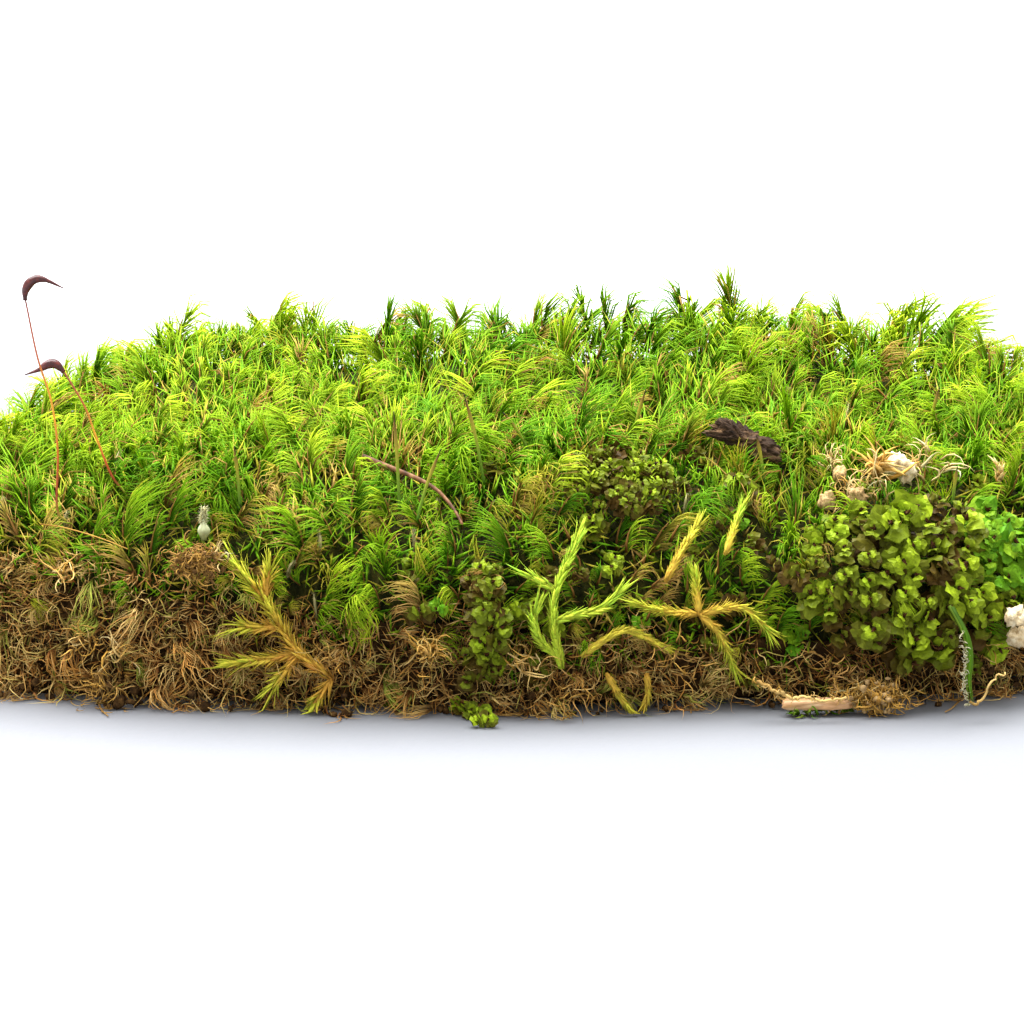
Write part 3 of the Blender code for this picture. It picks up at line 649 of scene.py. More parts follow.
class MossMatSettings(bpy.types.PropertyGroup):
    """Sizes and colours of the brown mat."""
    gap: length_of("Tuft gap", "Least distance between two dead tufts of the front", 2.0)
    gap_behind: length_of("Tuft gap behind", "Least distance between two dead tufts of the back", 2.6)
    leaf: length_of("Thread length", "Length of a full thread", 4.5)
    width: length_of("Thread width", "Width of a thread", 0.17)
    leaves: count_of("Threads", "Threads in a tuft of the front", 20, 3)
    leaves_behind: count_of("Threads behind", "Threads in a tuft of the back", 12, 3)
    loose: count_of("Loose threads", "Threads that lie every way on the mat", 2200)
    under: count_of("Short threads", "Short threads in the shade below the tufts", 8500)
    tan: colour_of("Tan", "Fresh dead leaves", "#f0d088")
    brown: colour_of("Brown", "Older leaves and stems", "#d2b068")
    rust: colour_of("Rust", "Rusty leaves", "#d99c4a")
    dark: colour_of("Dark", "Rotted leaves", "#6c4e2c")


class MossLiverwortSettings(bpy.types.PropertyGroup):
    """Sizes and colours of the liverwort."""
    gap: length_of("Shoot gap", "Least distance between two shoots", 2.0)
    leaf: length_of("Leaf length", "Length of a full leaf", 1.7)
    young: colour_of("Young leaf", "Bright young leaves", "#a4bc26")
    green: colour_of("Green leaf", "Small leaves of the shaded side", "#5f9c1c")
    olive: colour_of("Olive leaf", "Most leaves", "#70801a")
    brown: colour_of("Brown leaf", "Oldest leaves", "#584a18")


class MossSprigSettings(bpy.types.PropertyGroup):
    """Sizes and colours of the feather moss."""
    leaf: length_of("Leaf length", "Length of a scale leaf", 2.0)
    width: length_of("Leaf width", "Width of a scale leaf", 0.4)
    spacing: length_of("Leaf spacing", "Distance along the stem from leaf to leaf", 0.06)
    gold: colour_of("Gold", "Golden leaves", "#dfc048")
    lemon: colour_of("Lemon", "Lemon tips", "#e0da48")
    lime: colour_of("Lime", "Lime green leaves", "#bedb40")
    stem: colour_of("Stem", "Stems", "#9a6126")


class MossStalkSettings(bpy.types.PropertyGroup):
    """Sizes and colours of the spore stalks."""
    foot: length_of("Foot radius", "Radius of a ripe stalk at its foot", 0.125)
    tip: length_of("Tip radius", "Radius of a ripe stalk at its tip", 0.09)
    amber: colour_of("Amber", "Middle of a ripe stalk", "#d89a2c")
    wall: colour_of("Capsule", "Wall of a ripe capsule", "#4a1816")
    young: colour_of("Young stalk", "Lower half of a young stalk", "#6c8624")
    cap: colour_of("Cap", "Pointed cap of a young stalk", "#1c110b")


class MossLitterSettings(bpy.types.PropertyGroup):
    """Colours of the litter."""
    needle: colour_of("Needle", "Middle tone of the pine needle", "#6e4a30")
    splinter: colour_of("Splinter", "Middle tone of the wood splinter", "#cda278")
    bark: colour_of("Bark", "Middle tone of the bark chip", "#3a2b1f")
    pale: colour_of("Pale crumbs", "Middle tone of the pale crumbs", "#dcc79c")
    tan: colour_of("Tan crumbs", "Middle tone of the tan crumbs", "#a98a58")
    straw: colour_of("Straw", "Tips of the dry threads", "#dfae50")
    leaf: colour_of("Drooping leaf", "Blade of the drooping leaf", "#58841a")


class MossStageSettings(bpy.types.PropertyGroup):
    """Light and floor."""
    key: FloatProperty(name="Key light", description="Power of the soft light above", unit="POWER",
                       default=56.0, min=0)
    sky: FloatProperty(name="Surrounding light", description="Strength of the light from all around",
                       default=1.22, min=0)
    # The floor colour near the clump is a painted grey shade; the far floor colour is the sheet's white.
    floor: colour_of("Floor", "Foam sheet under the clump", "#797b80")
    far: colour_of("Far floor", "Foam sheet away from the clump", "#f4f5f7")


# -------------------- pieces


def core(name, source, depth, finish):
    """A dark body inside a layer of leaves: the plain solid's corners, calmed and drawn in by depth. Corners
    of its flat underside keep their height."""
    corners = triangles_of(source)[0]
    points, faces = np.unique(np.round(corners.reshape(-1, 3), 7), axis=0, return_inverse=True)
    faces = faces.reshape(-1, 3)
    faces = faces[(faces[:, 0] != faces[:, 1]) & (faces[:, 1] != faces[:, 2]) & (faces[:, 2] != faces[:, 0])]
    places, normals = calmed(points, shell(), REACH)
    outer = clearance(points, np.unique(outside()[0].reshape(-1, 3), axis=0)) < 0.01 * MM
    moved = np.where(outer[:, None], places - depth * normals, points)
    flat = points[:, 2] < points[:, 2].min() + 0.05 * MM
    moved[flat, 2] = points[flat, 2]
    moved[:, 2] = np.maximum(moved[:, 2], points[:, 2].min())
    where = moved[:, :2] / (160 * MM) + 0.5  # from above, on a square a little wider than the clump
    piece(name, [(moved, faces, where[faces])], finish, "brown_moss", source)


def under_layer(count, depth, low, high, behind, draw):
    """Places strewn on the calmed outside of the clump and moved in by depth, and which way the surface faces
    there. Behind, they are this share as close as on the front. They lie within two heights, measured from
    the border of green and brown."""
    corners, normals, area = outside()
    middles = corners.mean(1)
    above = greenness(middles)
    weight = area * np.where(middles[:, 1] < BACK_FROM, 1.0, behind) * (above > low) * (above < high)
    places, facing = calmed(strewn(corners, weight, count, draw)[0], shell(), REACH)
    return places - depth * facing, facing


def stubble(places, facing, length, width, tone, draw):
    """Short straight leaves with only a foot and a tip, set close to fill the shade between shoots. None
    reaches the floor."""
    ahead = unit(facing + draw.normal(0, 0.75, places.shape))
    tips = places + (length * draw.uniform(0.6, 1.25, len(places)))[:, None] * ahead
    half = 0.5 * width * draw.uniform(0.6, 1.3, len(places))
    across = sideways(ahead, draw.normal(size=ahead.shape))
    path, along = np.stack((places, tips), axis=1), np.stack((ahead, ahead), axis=1)
    points, faces, where = blades(path, along, across, half, half, tone)
    points[:, 2] = np.maximum(points[:, 2], LEAST_HEIGHT)
    return points, faces, where


def holds_liverwort(places):
    """Which seats hold a stray shoot of liverwort in place of moss: patches on the right of the front."""
    right = grows(places[:, 0], -20, 10)
    beside = grows(clearance(places, corners_of(*PATCHES)), 6, 0)
    return ((waves(places, 6 * MM, 60) > 1.9 - 1.0 * right - 0.9 * beside) & (places[:, 1] < 2 * MM)
            & (places[:, 2] > 3 * MM))


# Shoots that stand out from those around them: where they are seen, in pixels across and down, how far the
# difference reaches in millimetres, their tone and their size.
MARKED_SHOOTS = (
    (105, 415, 2.6, 0.24, 1.0), (840, 374, 2.6, 0.60, 1.45), (795, 468, 3.4, 0.57, 1.1),
    (545, 425, 2.6, 0.64, 1.15), (590, 458, 2.2, 0.60, 1.1), (720, 445, 2.4, 0.62, 1.1),
    (552, 492, 2.0, 0.96, 1.1), (772, 500, 2.0, 0.97, 1.0), (765, 578, 3.2, 0.93, 1.2),
    (450, 577, 1.8, 0.93, 0.95), (355, 595, 2.2, 0.92, 0.95), (605, 545, 2.0, 0.87, 1.0),
    (205, 472, 2.6, 0.62, 1.1), (235, 485, 2.2, 0.66, 1.1), (120, 470, 2.4, 0.63, 1.1),
    (935, 470, 3.2, 0.92, 1.15), (470, 520, 2.4, 0.66, 1.0), (500, 400, 2.6, 0.94, 1.1),
    (330, 600, 1.6, 0.9, 0.9), (60, 560, 2.2, 0.36, 1.1), (150, 492, 2.2, 0.40, 0.9),
    (128, 580, 2.4, 0.38, 1.05), (215, 590, 2.4, 0.46, 0.9), (300, 505, 1.8, 0.42, 0.8),
    (240, 510, 2.0, 0.42, 0.9), (90, 495, 1.6, 0.40, 0.8), (501, 570, 1.8, 0.26, 0.8),
    (655, 576, 2.2, 0.33, 1.0), (500, 490, 2.4, 0.46, 0.9), (535, 545, 2.2, 0.45, 0.9),
)


# Tall shoots stand at the back: the middle and the spread of each group along X in millimetres, and how tall.
TALL_SHOOTS = ((20.8, 3.2, 0.7), (45.0, 7.0, 1.0), (9.0, 6.0, 0.4))

# Where the turf is brighter or darker: the change of tone, and the two places along X and along Y between
# which it comes in, in millimetres.
ALL_OVER = (-201, -200)
TURF_TINTS = (
    (0.06, ALL_OVER, (-32, -20)), (-0.04, (2, 16), ALL_OVER), (0.08, (28, 38), (-4, 8)),
    (-0.03, (8, 18), (-20, -32)), (-0.08, (-28, -36), (-24, -32)), (0.03, (-8, -28), (-34, -14)),
)

# Leaves of the turf by their number of rings: how far those at the tip of a shoot stand open and how far all
# bend, in degrees, and their share of the full width. Leaves of fewer rings are further from the eye.
TURF_LEAVES = {3: (16, 98, 1.45), 4: (8, 112, 1.2), 5: (6, 108, 1.0)}


# Old stems wrapped in pale root felt, in pixels across and down.
FELTED_STEMS = ((300, 467), (72, 519), (9, 500), (315, 550), (321, 630), (292, 584), (262, 451), (432, 503),
                (420, 568), (118, 468), (858, 420), (480, 520), (655, 500))


def vigour(places, above, draw):
    """How each shoot of the turf does: how far it stands above its neighbours in millimetres, its tone, and
    whether it is dying. Proud shoots are bright and sunk ones dull: partly their own colour, partly painted
    shade down among their neighbours. The tone wanders in waves of two lengths. More shoots die near the
    brown and where they are sunk."""
    x, y = places[:, 0], places[:, 1]
    lift = np.clip(draw.normal(0, 0.85, len(x)) + 0.6 * waves(places, 6 * MM, 18), -2.1, 1.2)
    # The tone rises with the lift: partly painted shade on sunk shoots and painted light on proud ones.
    tone = 0.755 + 0.07 * waves(places, 16 * MM, 14) + 0.075 * waves(places, 5 * MM, 15) + 0.05 * lift
    lift *= 1 - 0.4 * grows(y, 2, 10)
    front = grows(y, -20, -32)
    for change, across, inwards in TURF_TINTS:
        tone += change * grows(x, *across) * grows(y, *inwards)
    tone -= (0.1 - 0.03 * front) * np.exp(-((x - MM) / (13 * MM)) ** 2)
    tone += draw.normal(0, 0.045, len(x))
    low = grows(above / (1 + grows(x, -6, -20)), 5, 0)
    dying = draw.random(len(x)) < (0.05 + 0.36 * low + 0.12 * (waves(places, 10 * MM, 16) > 0.8)
                                   + 0.06 * front + 0.24 * (lift < -0.8))
    return lift, np.where(dying, draw.uniform(0.3, 0.52, len(x)), tone), dying


def grow_turf(settings):
    """Green shoots all over the turf in five pieces, old stems wrapped in pale felt between them, and short
    leaves on a dark core below."""
    draw = np.random.default_rng(4)
    places, normals, room, above = seats(settings.gap, settings.gap_behind)
    x, y = places[:, 0], places[:, 1]
    # Tall arching shoots stand along the back edge at a few places, with light between them.
    tall = sum(share * np.exp(-((x - middle * MM) / (spread * MM)) ** 2)
               for middle, spread, share in TALL_SHOOTS)
    tall = tall * grows(y, 4, 12)
    chosen = (above > 0) & ~holds_liverwort(places) & (draw.random(len(x)) > 0.4 * tall)
    places, normals, room, above, tall = (part[chosen] for part in (places, normals, room, above, tall))
    x, y = places[:, 0], places[:, 1]

    steep = smooth((0.85 - normals[:, 2]) / 0.6)
    axis = unit(np.array([0, 0, 1.0]) * (0.95 - 0.15 * steep)[:, None]
                + normals * (0.3 + 0.25 * steep)[:, None]
                + draw.normal(0, 0.27, places.shape))
    sweep = swirl(places, axis, draw)
    size = room * (0.98 + 0.14 * waves(places, 7 * MM, 13) + draw.normal(0, 0.15, len(x)))
    size = np.clip(size, 0.42, 1.4) * (1 + 0.55 * tall)
    lift, own, dying = vigour(places, above, draw)
    size = np.where(dying, 0.85 * size, size)
    spots = np.array(MARKED_SHOOTS)
    for near, (reach, tone, grown) in zip(seen_at(spots[:, :2], places), spots[:, 2:]):
        around = np.linalg.norm(places - places[near], axis=1) < reach * MM
        own[around], size[around] = tone, size[around] * grown

    # A shoot's foot sits inside the turf, deeper the larger it is; the back of the turf is raised.
    inwards = 0.6 * axis + 0.4 * normals
    rise = grows(y, -12, 10) * (0.6 + 0.7 * grows(x, -30, -10)) + 1.8 * tall
    seat = places - (MM * (2.6 * size - lift))[:, None] * inwards + (MM * rise)[:, None] * (0, 0, 1)
    back, left = y > BACK_FROM, x < -3 * MM
    face = ~back & (normals[:, 1] < -0.45)
    count = settings.leaves_top + (settings.leaves - settings.leaves_top) * steep
    count = np.round(count * np.clip(size, 0.6, 1.15) * np.where(back, 0.8, 1)).astype(int)
    finish = turf_finish(settings)
    for name, mine, rings in (("turf_face_left", face & left, 5), ("turf_face_right", face & ~left, 5),
                              ("turf_top_left", ~face & ~back & left, 4),
                              ("turf_top_right", ~face & ~back & ~left, 4), ("turf_behind", back, 3)):
        open_tip, bend, broad = TURF_LEAVES[rings]
        style = {"stem": 3.4 * MM, "leaf": settings.leaf, "open_foot": 40, "open_tip": open_tip, "bend": bend,
                 "sag": 0.15, "lopsided": 1.6, "crimp": 0.12 * MM, "rings": rings}
        path, along, across, share, shoot = shoots(seat[mine], axis[mine], sweep[mine], size[mine],
                                                   count[mine], style, draw)
        # Leaves low on a shoot take a lower, darker tone: partly older leaves, partly painted shade inside the
        # shoot.
        tone = own[mine][shoot] + 0.13 * (share - 0.6) + draw.normal(0, 0.025, len(shoot))
        faded = draw.random(len(shoot)) < 0.03 + 0.14 * (1 - share) ** 2
        tone = np.where(faded, draw.uniform(0.15, 0.5, len(shoot)), np.clip(tone, 0.16, 0.985))
        half = 0.5 * settings.width * draw.uniform(0.75, 1.25, len(shoot))
        half *= np.sqrt(size[mine][shoot]) * broad
        parts = [blades(path, along, across, half, 1.5 * half, tone),
                 stems(seat[mine], axis[mine], sweep[mine], 4.2 * MM * size[mine], draw)]
        piece(name, parts, finish, "green_moss", "moss_turf")

    spots = seen_at(FELTED_STEMS, places)
    feet = places[spots] - 0.9 * MM * normals[spots]
    ways = unit(normals[spots] * (0.5, 0.5, 0.5) + (0, 0, 0.8) + draw.normal(0, 0.25, feet.shape))
    parts = felted(feet, ways, draw.uniform(1.9, 3.0, len(feet)) * MM, 0.17 * MM, 0.03, 130, draw)
    piece("felted_stems", parts, finish, "green_moss")
    # Old stems and rotted leaves packed behind the shoots, moist and out of the light: a rough green-black
    # without shine. The green-black is partly their own dark colour and partly painted shade, so that a gap
    # between shoots reads as depth.
    shade = grained_finish(
        "Shaded moss stems", [(0.3, "#131508"), (0.5, "#2a2d10"), (0.72, "#565022")],
        0.9 * MM, (1, 1, 0.5), 0.95, 0.4 * MM, 0.5 * MM, 0.1)
    core("turf_core", "moss_turf", 3.4 * MM, shade)
    depth = draw.uniform(1.5, 3.1, (settings.under, 1)) * MM
    spots, facing = under_layer(settings.under, depth, -1 * MM, 1, 0.08, draw)
    tone = np.clip(0.58 + 0.13 * waves(spots, 5 * MM, 17) + draw.normal(0, 0.09, len(spots)), 0.2, 0.78)
    piece("turf_stubble", [stubble(spots, facing, 3.0 * MM, 0.44 * MM, tone, draw)], finish, "green_moss")
    spots, facing = under_layer(settings.between, 0.6 * MM, 1 * MM, 1, 1.6, draw)
    top = spots[:, 1] > -20 * MM
    spots, facing = spots[top], facing[top]
    tone = np.clip(0.65 + 0.1 * waves(spots, 6 * MM, 19) + draw.normal(0, 0.07, len(spots)), 0.3, 0.95)
    piece("turf_filling", [stubble(spots, facing + (0, 0, 0.5), 3.6 * MM, 0.34 * MM, tone, draw)], finish,
          "green_moss")


def felted(feet, ways, lengths, radius, tone, count, draw):
    """Stems wrapped in felt: a tapered arc each, and short hairs that stand out all round it. A hair's foot
    lies along the stem by its share, moved aside by a quarter of the share's square as the stem bends."""
    side = sideways(ways, draw.normal(size=ways.shape))
    path, along = arcs(feet, ways, side, lengths, draw.uniform(0.1, 0.5, len(feet)), 4)
    half = radius * draw.uniform(0.8, 1.2, len(feet))
    stem = blades(path, along, np.cross(ways, side), half, 1.6 * half, np.full(len(feet), tone), 0.4)
    each = np.repeat(np.arange(len(feet)), count)
    share = draw.uniform(0, 0.95, len(each))
    out = sideways(ways[each], draw.normal(size=(len(each), 3)))
    at = feet[each] + (share * lengths[each])[:, None] * ways[each] + (0.5 * radius) * out
    at += (0.25 * share**2 * lengths[each])[:, None] * side[each]
    hairs = stubble(at, out + 0.3 * ways[each], 1.7 * radius, 0.07 * MM, np.full(len(each), tone), draw)
    return [stem, hairs]


def turf_finish(settings):
    """The finish of live moss, from felted stems and dead leaves to the brightest tips."""
    # Live fork moss: thin leaves grown with a coat of wax and one vein, green all through. The eye sees a
    # soft glint along each leaf, and light shines through the tips. Towards the root the green is deeper and
    # darker, partly the leaf's own colour and partly painted shade inside the shoot.
    return leaf_finish("Live fork moss leaf", [
        (0.02, "#8c8a50", "#c0b984"),
        (0.10, "#4b3115", "#8a6a34"),
        (0.22, "#6b4a20", "#c08a4a"),
        (0.34, "#7a6128", settings.dead),
        (0.48, "#666c1e", settings.olive),
        (0.62, "#3a6c14", settings.deep),
        (0.80, "#659a18", settings.green),
        (0.97, "#8cb526", settings.lime),
    ], 0.5, 0.4)


def mat_finish(settings):
    """The finish of dead moss, from rotted to freshly bleached, with a little green at the end."""
    # Dead leaves of the fork moss, dried in place: papery blades that have lost their wax and bleached to
    # rust, tan and straw, or rotted dark. They are dull, and a little light still shines through.
    return leaf_finish("Dead moss leaf", [
        (0.05, "#2a1a0d", settings.dark),
        (0.28, "#74522e", settings.brown),
        (0.48, "#925a30", settings.rust),
        (0.66, "#a88444", settings.tan),
        (0.82, "#93803c", "#ddc56c"),
        (0.97, "#5b6a1c", "#a5ad45"),
    ], 0.62, 0.22)


def grow_tufts(settings, finish, draw):
    """Tufts of dead leaves on the brown: shoots that hang the more, the higher they stand."""
    places, normals, room, above = seats(settings.gap, settings.gap_behind)
    chosen = (above <= 0) & ~holds_liverwort(places)
    places, normals, room, above = (part[chosen] for part in (places, normals, room, above))
    height = np.clip(places[:, 2] / np.maximum(places[:, 2] - above, MM), 0, 1)
    flat = unit(normals * (1, 1, 0.3))
    down = np.array([0, 0, -1.0])
    axis = unit(0.8 * flat + down * (0.3 - 0.7 * height)[:, None] + draw.normal(0, 0.55, places.shape))
    sweep = sideways(axis, draw.normal(0, 0.8, places.shape) + down * (0.3 + 0.8 * height)[:, None])
    size = np.clip(room * (0.9 + 0.2 * height + draw.normal(0, 0.22, len(places))), 0.4, 1.5)
    seat = places - (1.4 * MM * size + draw.uniform(0, 1.2, len(places)) * MM)[:, None] * flat
    own = 0.57 + 0.27 * waves(places, 7 * MM, 21) + 0.26 * (height - 0.5) + draw.normal(0, 0.12, len(places))
    style = {"stem": 2.6 * MM, "leaf": settings.leaf, "open_foot": 50, "open_tip": 10, "bend": 125,
             "sag": 0.5, "lopsided": 1.6, "crimp": 0.4 * MM, "rings": 5}
    back = places[:, 1] > BACK_FROM
    for name, mine, leaves in (("mat_threads_front", ~back, settings.leaves),
                               ("mat_threads_back", back, settings.leaves_behind)):
        path, along, across, share, shoot = shoots(seat[mine], axis[mine], sweep[mine], size[mine],
                                                   np.full(mine.sum(), leaves), style, draw)
        tone = np.clip(own[mine][shoot] + draw.normal(0, 0.09, len(shoot)), LOWEST_TONE, HIGHEST_TONE)
        half = 0.5 * settings.width * draw.uniform(0.6, 1.3, len(shoot))
        piece(name, [blades(path, along, across, half, 1.4 * half, tone)], finish, "brown_moss", "brown_mat")


def patchy(corners, area, count, size, seed, stray, level, most, draw):
    """Places strewn over triangles and kept in patches only: where waves of this size, with some of chance,
    stand above a level. At most so many are kept."""
    spots = strewn(corners, area, count, draw)[0]
    return spots[waves(spots, size, seed) + draw.normal(0, stray, len(spots)) > level][:most]


def grow_mat(settings):
    """Tufts of dead leaves and rotted threads below the green, round a dark core of root felt and soil."""
    draw = np.random.default_rng(5)
    finish = mat_finish(settings)
    grow_tufts(settings, finish, draw)

    corners, normals, area = triangles_of("brown_mat")
    side = (normals[:, 2] > -0.93) & (normals[:, 2] < 0.5)
    corners, normals, area = corners[side], normals[side], area[side]
    wall = cloud_on(corners, normals, area, 5000)
    close = np.where(corners[:, :, 1].mean(1) < BACK_FROM, 1, 0.35)
    spots = strewn(corners, area * close, settings.loose, draw)[0]
    facing = calmed(spots, wall, REACH)[1]
    tone = 0.6 + 0.2 * waves(spots, 6 * MM, 23) + draw.normal(0, 0.12, len(spots))
    parts = [tangle(spots - 0.5 * MM * facing, facing, settings.leaf, settings.width, tone, draw)]
    piece("mat_tangle", parts, finish, "brown_moss")

    # Threads and crumbs near the floor lie in patches and bulge outwards in the same waves.
    low = corners[:, :, 2].max(1) < 5 * MM
    spots = patchy(corners[low], area[low], 4000, 8 * MM, 24, 0.4, 0.7, 1000, draw)
    spots[:, 2] *= draw.uniform(0.1, 0.6, len(spots))
    out = unit(calmed(spots, wall, REACH)[1] * (1, 1, 0))
    spots += (1.5 * MM * np.clip(waves(spots, 9 * MM, 27), 0, 1.6))[:, None] * out
    tone = 0.38 + 0.15 * waves(spots, 6 * MM, 25) + draw.normal(0, 0.1, len(spots))
    parts = [tangle(spots, out, 0.8 * settings.leaf, 1.1 * settings.width, tone, draw, 0.7)]
    piece("mat_fringe", parts, finish, "brown_moss")

    # Felt of root hairs that has grown round crumbs of forest soil and been pressed together: the eye sees a
    # dark brown, granular ground without shine.
    soil = grained_finish(
        "Root felt and soil", [(0.3, "#1c130a"), (0.5, "#3d2a15"), (0.7, "#70522c")],
        1.0 * MM, (1, 1, 1), 0.95, 0.4 * MM, 0.5 * MM, 0.1)
    core("mat_core", "brown_mat", 2.4 * MM, soil)
    spots, facing = under_layer(settings.under, 1.2 * MM, -1, 2.5 * MM, 0.35, draw)
    tone = np.clip(0.5 + 0.2 * waves(spots, 5 * MM, 22) + draw.normal(0, 0.1, len(spots)), 0.04, 0.8)
    parts = [stubble(spots, unit(facing * (1, 1, 0.4)), 2.4 * MM, 0.26 * MM, tone, draw)]
    piece("mat_stubble", parts, finish, "brown_moss")

    spots = patchy(corners[low], area[low], 2600, 6 * MM, 26, 0.5, 0.5, 700, draw)
    out = unit(calmed(spots, wall, REACH)[1] * (1, 1, 0))
    lump = 1.5 * np.clip(waves(spots, 9 * MM, 27), 0, 1.6)
    spots += (MM * (lump + np.abs(draw.normal(0, 0.7, len(spots))) - 0.5))[:, None] * out
    spots[:, 2] = np.maximum(spots[:, 2] * draw.uniform(0, 0.8, len(spots)), LEAST_HEIGHT)
    parts = [grains(spots, draw.uniform(0.1, 0.75, len(spots)) ** 1.5 * MM, draw)]
    piece("soil_crumbs", parts, soil, "brown_moss")


def tangle(places, facing, length, width, tone, draw, hang=0.35):
    """Loose crimped threads that start at these places and run every way over the surface: arcs that first
    rise from it and then bend back to it, pushed across themselves by a sine wave."""
    ahead = unit(0.55 * facing + draw.normal(0, 0.7, places.shape) - (0, 0, hang))
    side = sideways(ahead, draw.normal(0, 0.7, places.shape) - 0.6 * facing)
    count = len(places)
    bend = np.radians(draw.normal(120, 70, count))
    path, along = arcs(places, ahead, side, length * draw.uniform(0.5, 1.3, count), bend, 6)
    path = crimped(path, np.cross(ahead, side), 0.5 * MM, 1.3, draw)
    path[..., 2] = np.maximum(path[..., 2], LEAST_HEIGHT)
    half = 0.5 * width * draw.uniform(0.5, 1.25, count)
    tone = np.clip(tone, LOWEST_TONE, HIGHEST_TONE)
    return blades(path, along, np.cross(ahead, side), half, 1.4 * half, tone)


def grains(places, sizes, draw, own=0.5):
    """Small broken crumbs: a ball of twenty faces for each, with its corners pushed in and out by chance.
    None reaches below the floor."""
    golden = (1 + math.sqrt(5)) / 2
    ball = unit(np.array([(a, b, 0) for a in (-1, 1) for b in (-golden, golden)]
                         + [(0, a, b) for a in (-1, 1) for b in (-golden, golden)]
                         + [(b, 0, a) for a in (-1, 1) for b in (-golden, golden)]))
    apart = ((ball[:, None] - ball) ** 2).sum(-1) < 1.2
    faces = [(a, b, c) for a in range(12) for b in range(a + 1, 12) for c in range(b + 1, 12)
             if apart[a, b] and apart[b, c] and apart[a, c]]
    faces = np.array([(a, b, c) if np.linalg.det(ball[[a, b, c]]) > 0 else (a, c, b) for a, b, c in faces])
    shape = ball * draw.uniform(0.6, 1.25, (len(places), 12, 1)) * draw.uniform(0.6, 1.2, (len(places), 1, 3))
    points = places[:, None] + shape * sizes[:, None, None]
    points[..., 2] = np.maximum(points[..., 2], 0.02 * MM)
    tone = np.clip(own + draw.normal(0, 0.08, len(places)), LOWEST_TONE, HIGHEST_TONE)
    where = np.stack(np.broadcast_arrays(tone[:, None] + 0.01 * ball[:, 0], 0.5 + 0.45 * ball[:, 1]), axis=-1)
    return repeated(points, faces, where)


# How far each pair of leaves has grown on a shoot of liverwort, from the oldest to the youngest.
PAIR_GROWTH = (0.85, 1.0, 1.0, 0.84, 0.55)


def rosettes(places, axis, size, own, fresh, leaf, grid, draw):
    """Shoots of liverwort seen from their tips: pairs of rounded leaves that overlap like tiles on both sides
    of a short stem, each pair turned a little further than the last, the youngest small and nearly closed,
    round a dark bud of three short blades. Small shoots have no oldest pair."""
    pairs = 5 if grid[1] > 3 else 4
    shoot = np.repeat(np.arange(len(places)), 2 * pairs)
    step = np.tile(np.repeat(np.arange(pairs), 2), len(places))
    age = step + len(PAIR_GROWTH) - pairs
    hand = np.tile([-1.0, 1.0], len(places) * pairs)
    turn = draw.normal(0, 0.7, len(places))[shoot] + 0.16 * step + draw.normal(0, 0.22, len(shoot))
    first = sideways(axis, np.broadcast_to((0.9, 0.3, 0.1), axis.shape))
    second = np.cross(axis, first)
    lateral = (np.cos(turn)[:, None] * first[shoot] + np.sin(turn)[:, None] * second[shoot]) * hand[:, None]
    base = places[shoot] + ((age * 0.5 - 1.5) * MM * size[shoot])[:, None] * axis[shoot]
    spread = np.radians(86 - 9 * age + draw.normal(0, 10, len(shoot)))[:, None]
    ahead = unit(np.sin(spread) * lateral + np.cos(spread) * axis[shoot])
    face = sideways(ahead, axis[shoot])
    grown = leaf * size[shoot] * np.array(PAIR_GROWTH)[age] * draw.uniform(0.8, 1.2, len(shoot))
    tone = np.clip(own[shoot] + 0.11 * (step + 1.8 - pairs) + draw.normal(0, 0.045, len(shoot)), 0.12, 0.74)
    tone = np.where(fresh[shoot], draw.uniform(0.82, 0.95, len(shoot)), tone)
    leaves = lobes(base, ahead, face, grown, 0.62 * grown, -0.16 * grown, 0.12 * grown, tone, grid, draw)
    bud = np.repeat(places + (0.75 * MM * size)[:, None] * axis, 3, axis=0)
    ways = unit(np.repeat(axis, 3, axis=0) + draw.normal(0, 0.6, bud.shape))
    side = sideways(ways, draw.normal(size=ways.shape))
    long = np.repeat(0.65 * MM * size, 3)
    lines, along = arcs(bud - 0.2 * MM * ways, ways, side, long, np.full(len(bud), 0.5), 4)
    half = 0.36 * long
    return [leaves, blades(lines, along, np.cross(ways, side), half, half, np.full(len(bud), 0.04))]


# Of each patch of liverwort: its share of the full leaf and gap, its mean tone, and the grid of a leaf.
PATCH_STYLES = {"liverwort_right": (1.0, 0.44, (5, 4)), "liverwort_middle": (0.66, 0.45, (4, 3)),
                "liverwort_low": (0.76, 0.37, (5, 3))}

# The sprout of liverwort that lies on the floor against the front edge, in pixels across and down.
LIVERWORT_SPROUT = ((457, 704), (464, 707), (471, 711), (478, 713), (486, 715), (479, 719), (488, 720),
                    (392, 698), (398, 701))


def cover_patch(number, name, settings, finish):
    """Shoots of liverwort close together on one patch, with a few gaps, seated at uneven depths."""
    draw = np.random.default_rng(31 + number)
    share, mean, grid = PATCH_STYLES[name]
    corners, normals, area = triangles_of(name)
    outer = normals[:, 1] < 0.35
    corners, normals, area = corners[outer], normals[outer], area[outer]
    rough = strewn(corners, area, 4000, draw)[0]
    kept = spaced(rough, np.full(len(rough), settings.gap * share))
    places, facing = calmed(rough[kept], cloud_on(corners, normals, area, 3000), 1.3 * MM)
    full = waves(places, 4.5 * MM, 46) + draw.normal(0, 0.3, len(places)) > -0.85
    places, facing = places[full], facing[full]
    places -= draw.uniform(-0.2, 1.3, (len(places), 1)) * MM * share * facing
    axis = unit(facing + draw.normal(0, 0.4, places.shape) + np.array([0, -0.3, 0.5]))
    size = 1.05 + 0.15 * waves(places, 9 * MM, 47) + draw.normal(0, 0.22, len(places))
    size = np.clip(size, 0.6, 0.72 + 0.6 * share) * share
    own = mean + 0.12 * waves(places, 7 * MM, 40 + number) + draw.normal(0, 0.11, len(places))
    fresh = waves(places, 9 * MM, 50) + 1.2 * (places[:, 0] > 44 * MM) > 1.5
    parts = rosettes(places, axis, size, own, fresh, settings.leaf, grid, draw)
    piece(name + "_leaves", parts, finish, "liverwort", name, smooth_faces=False)


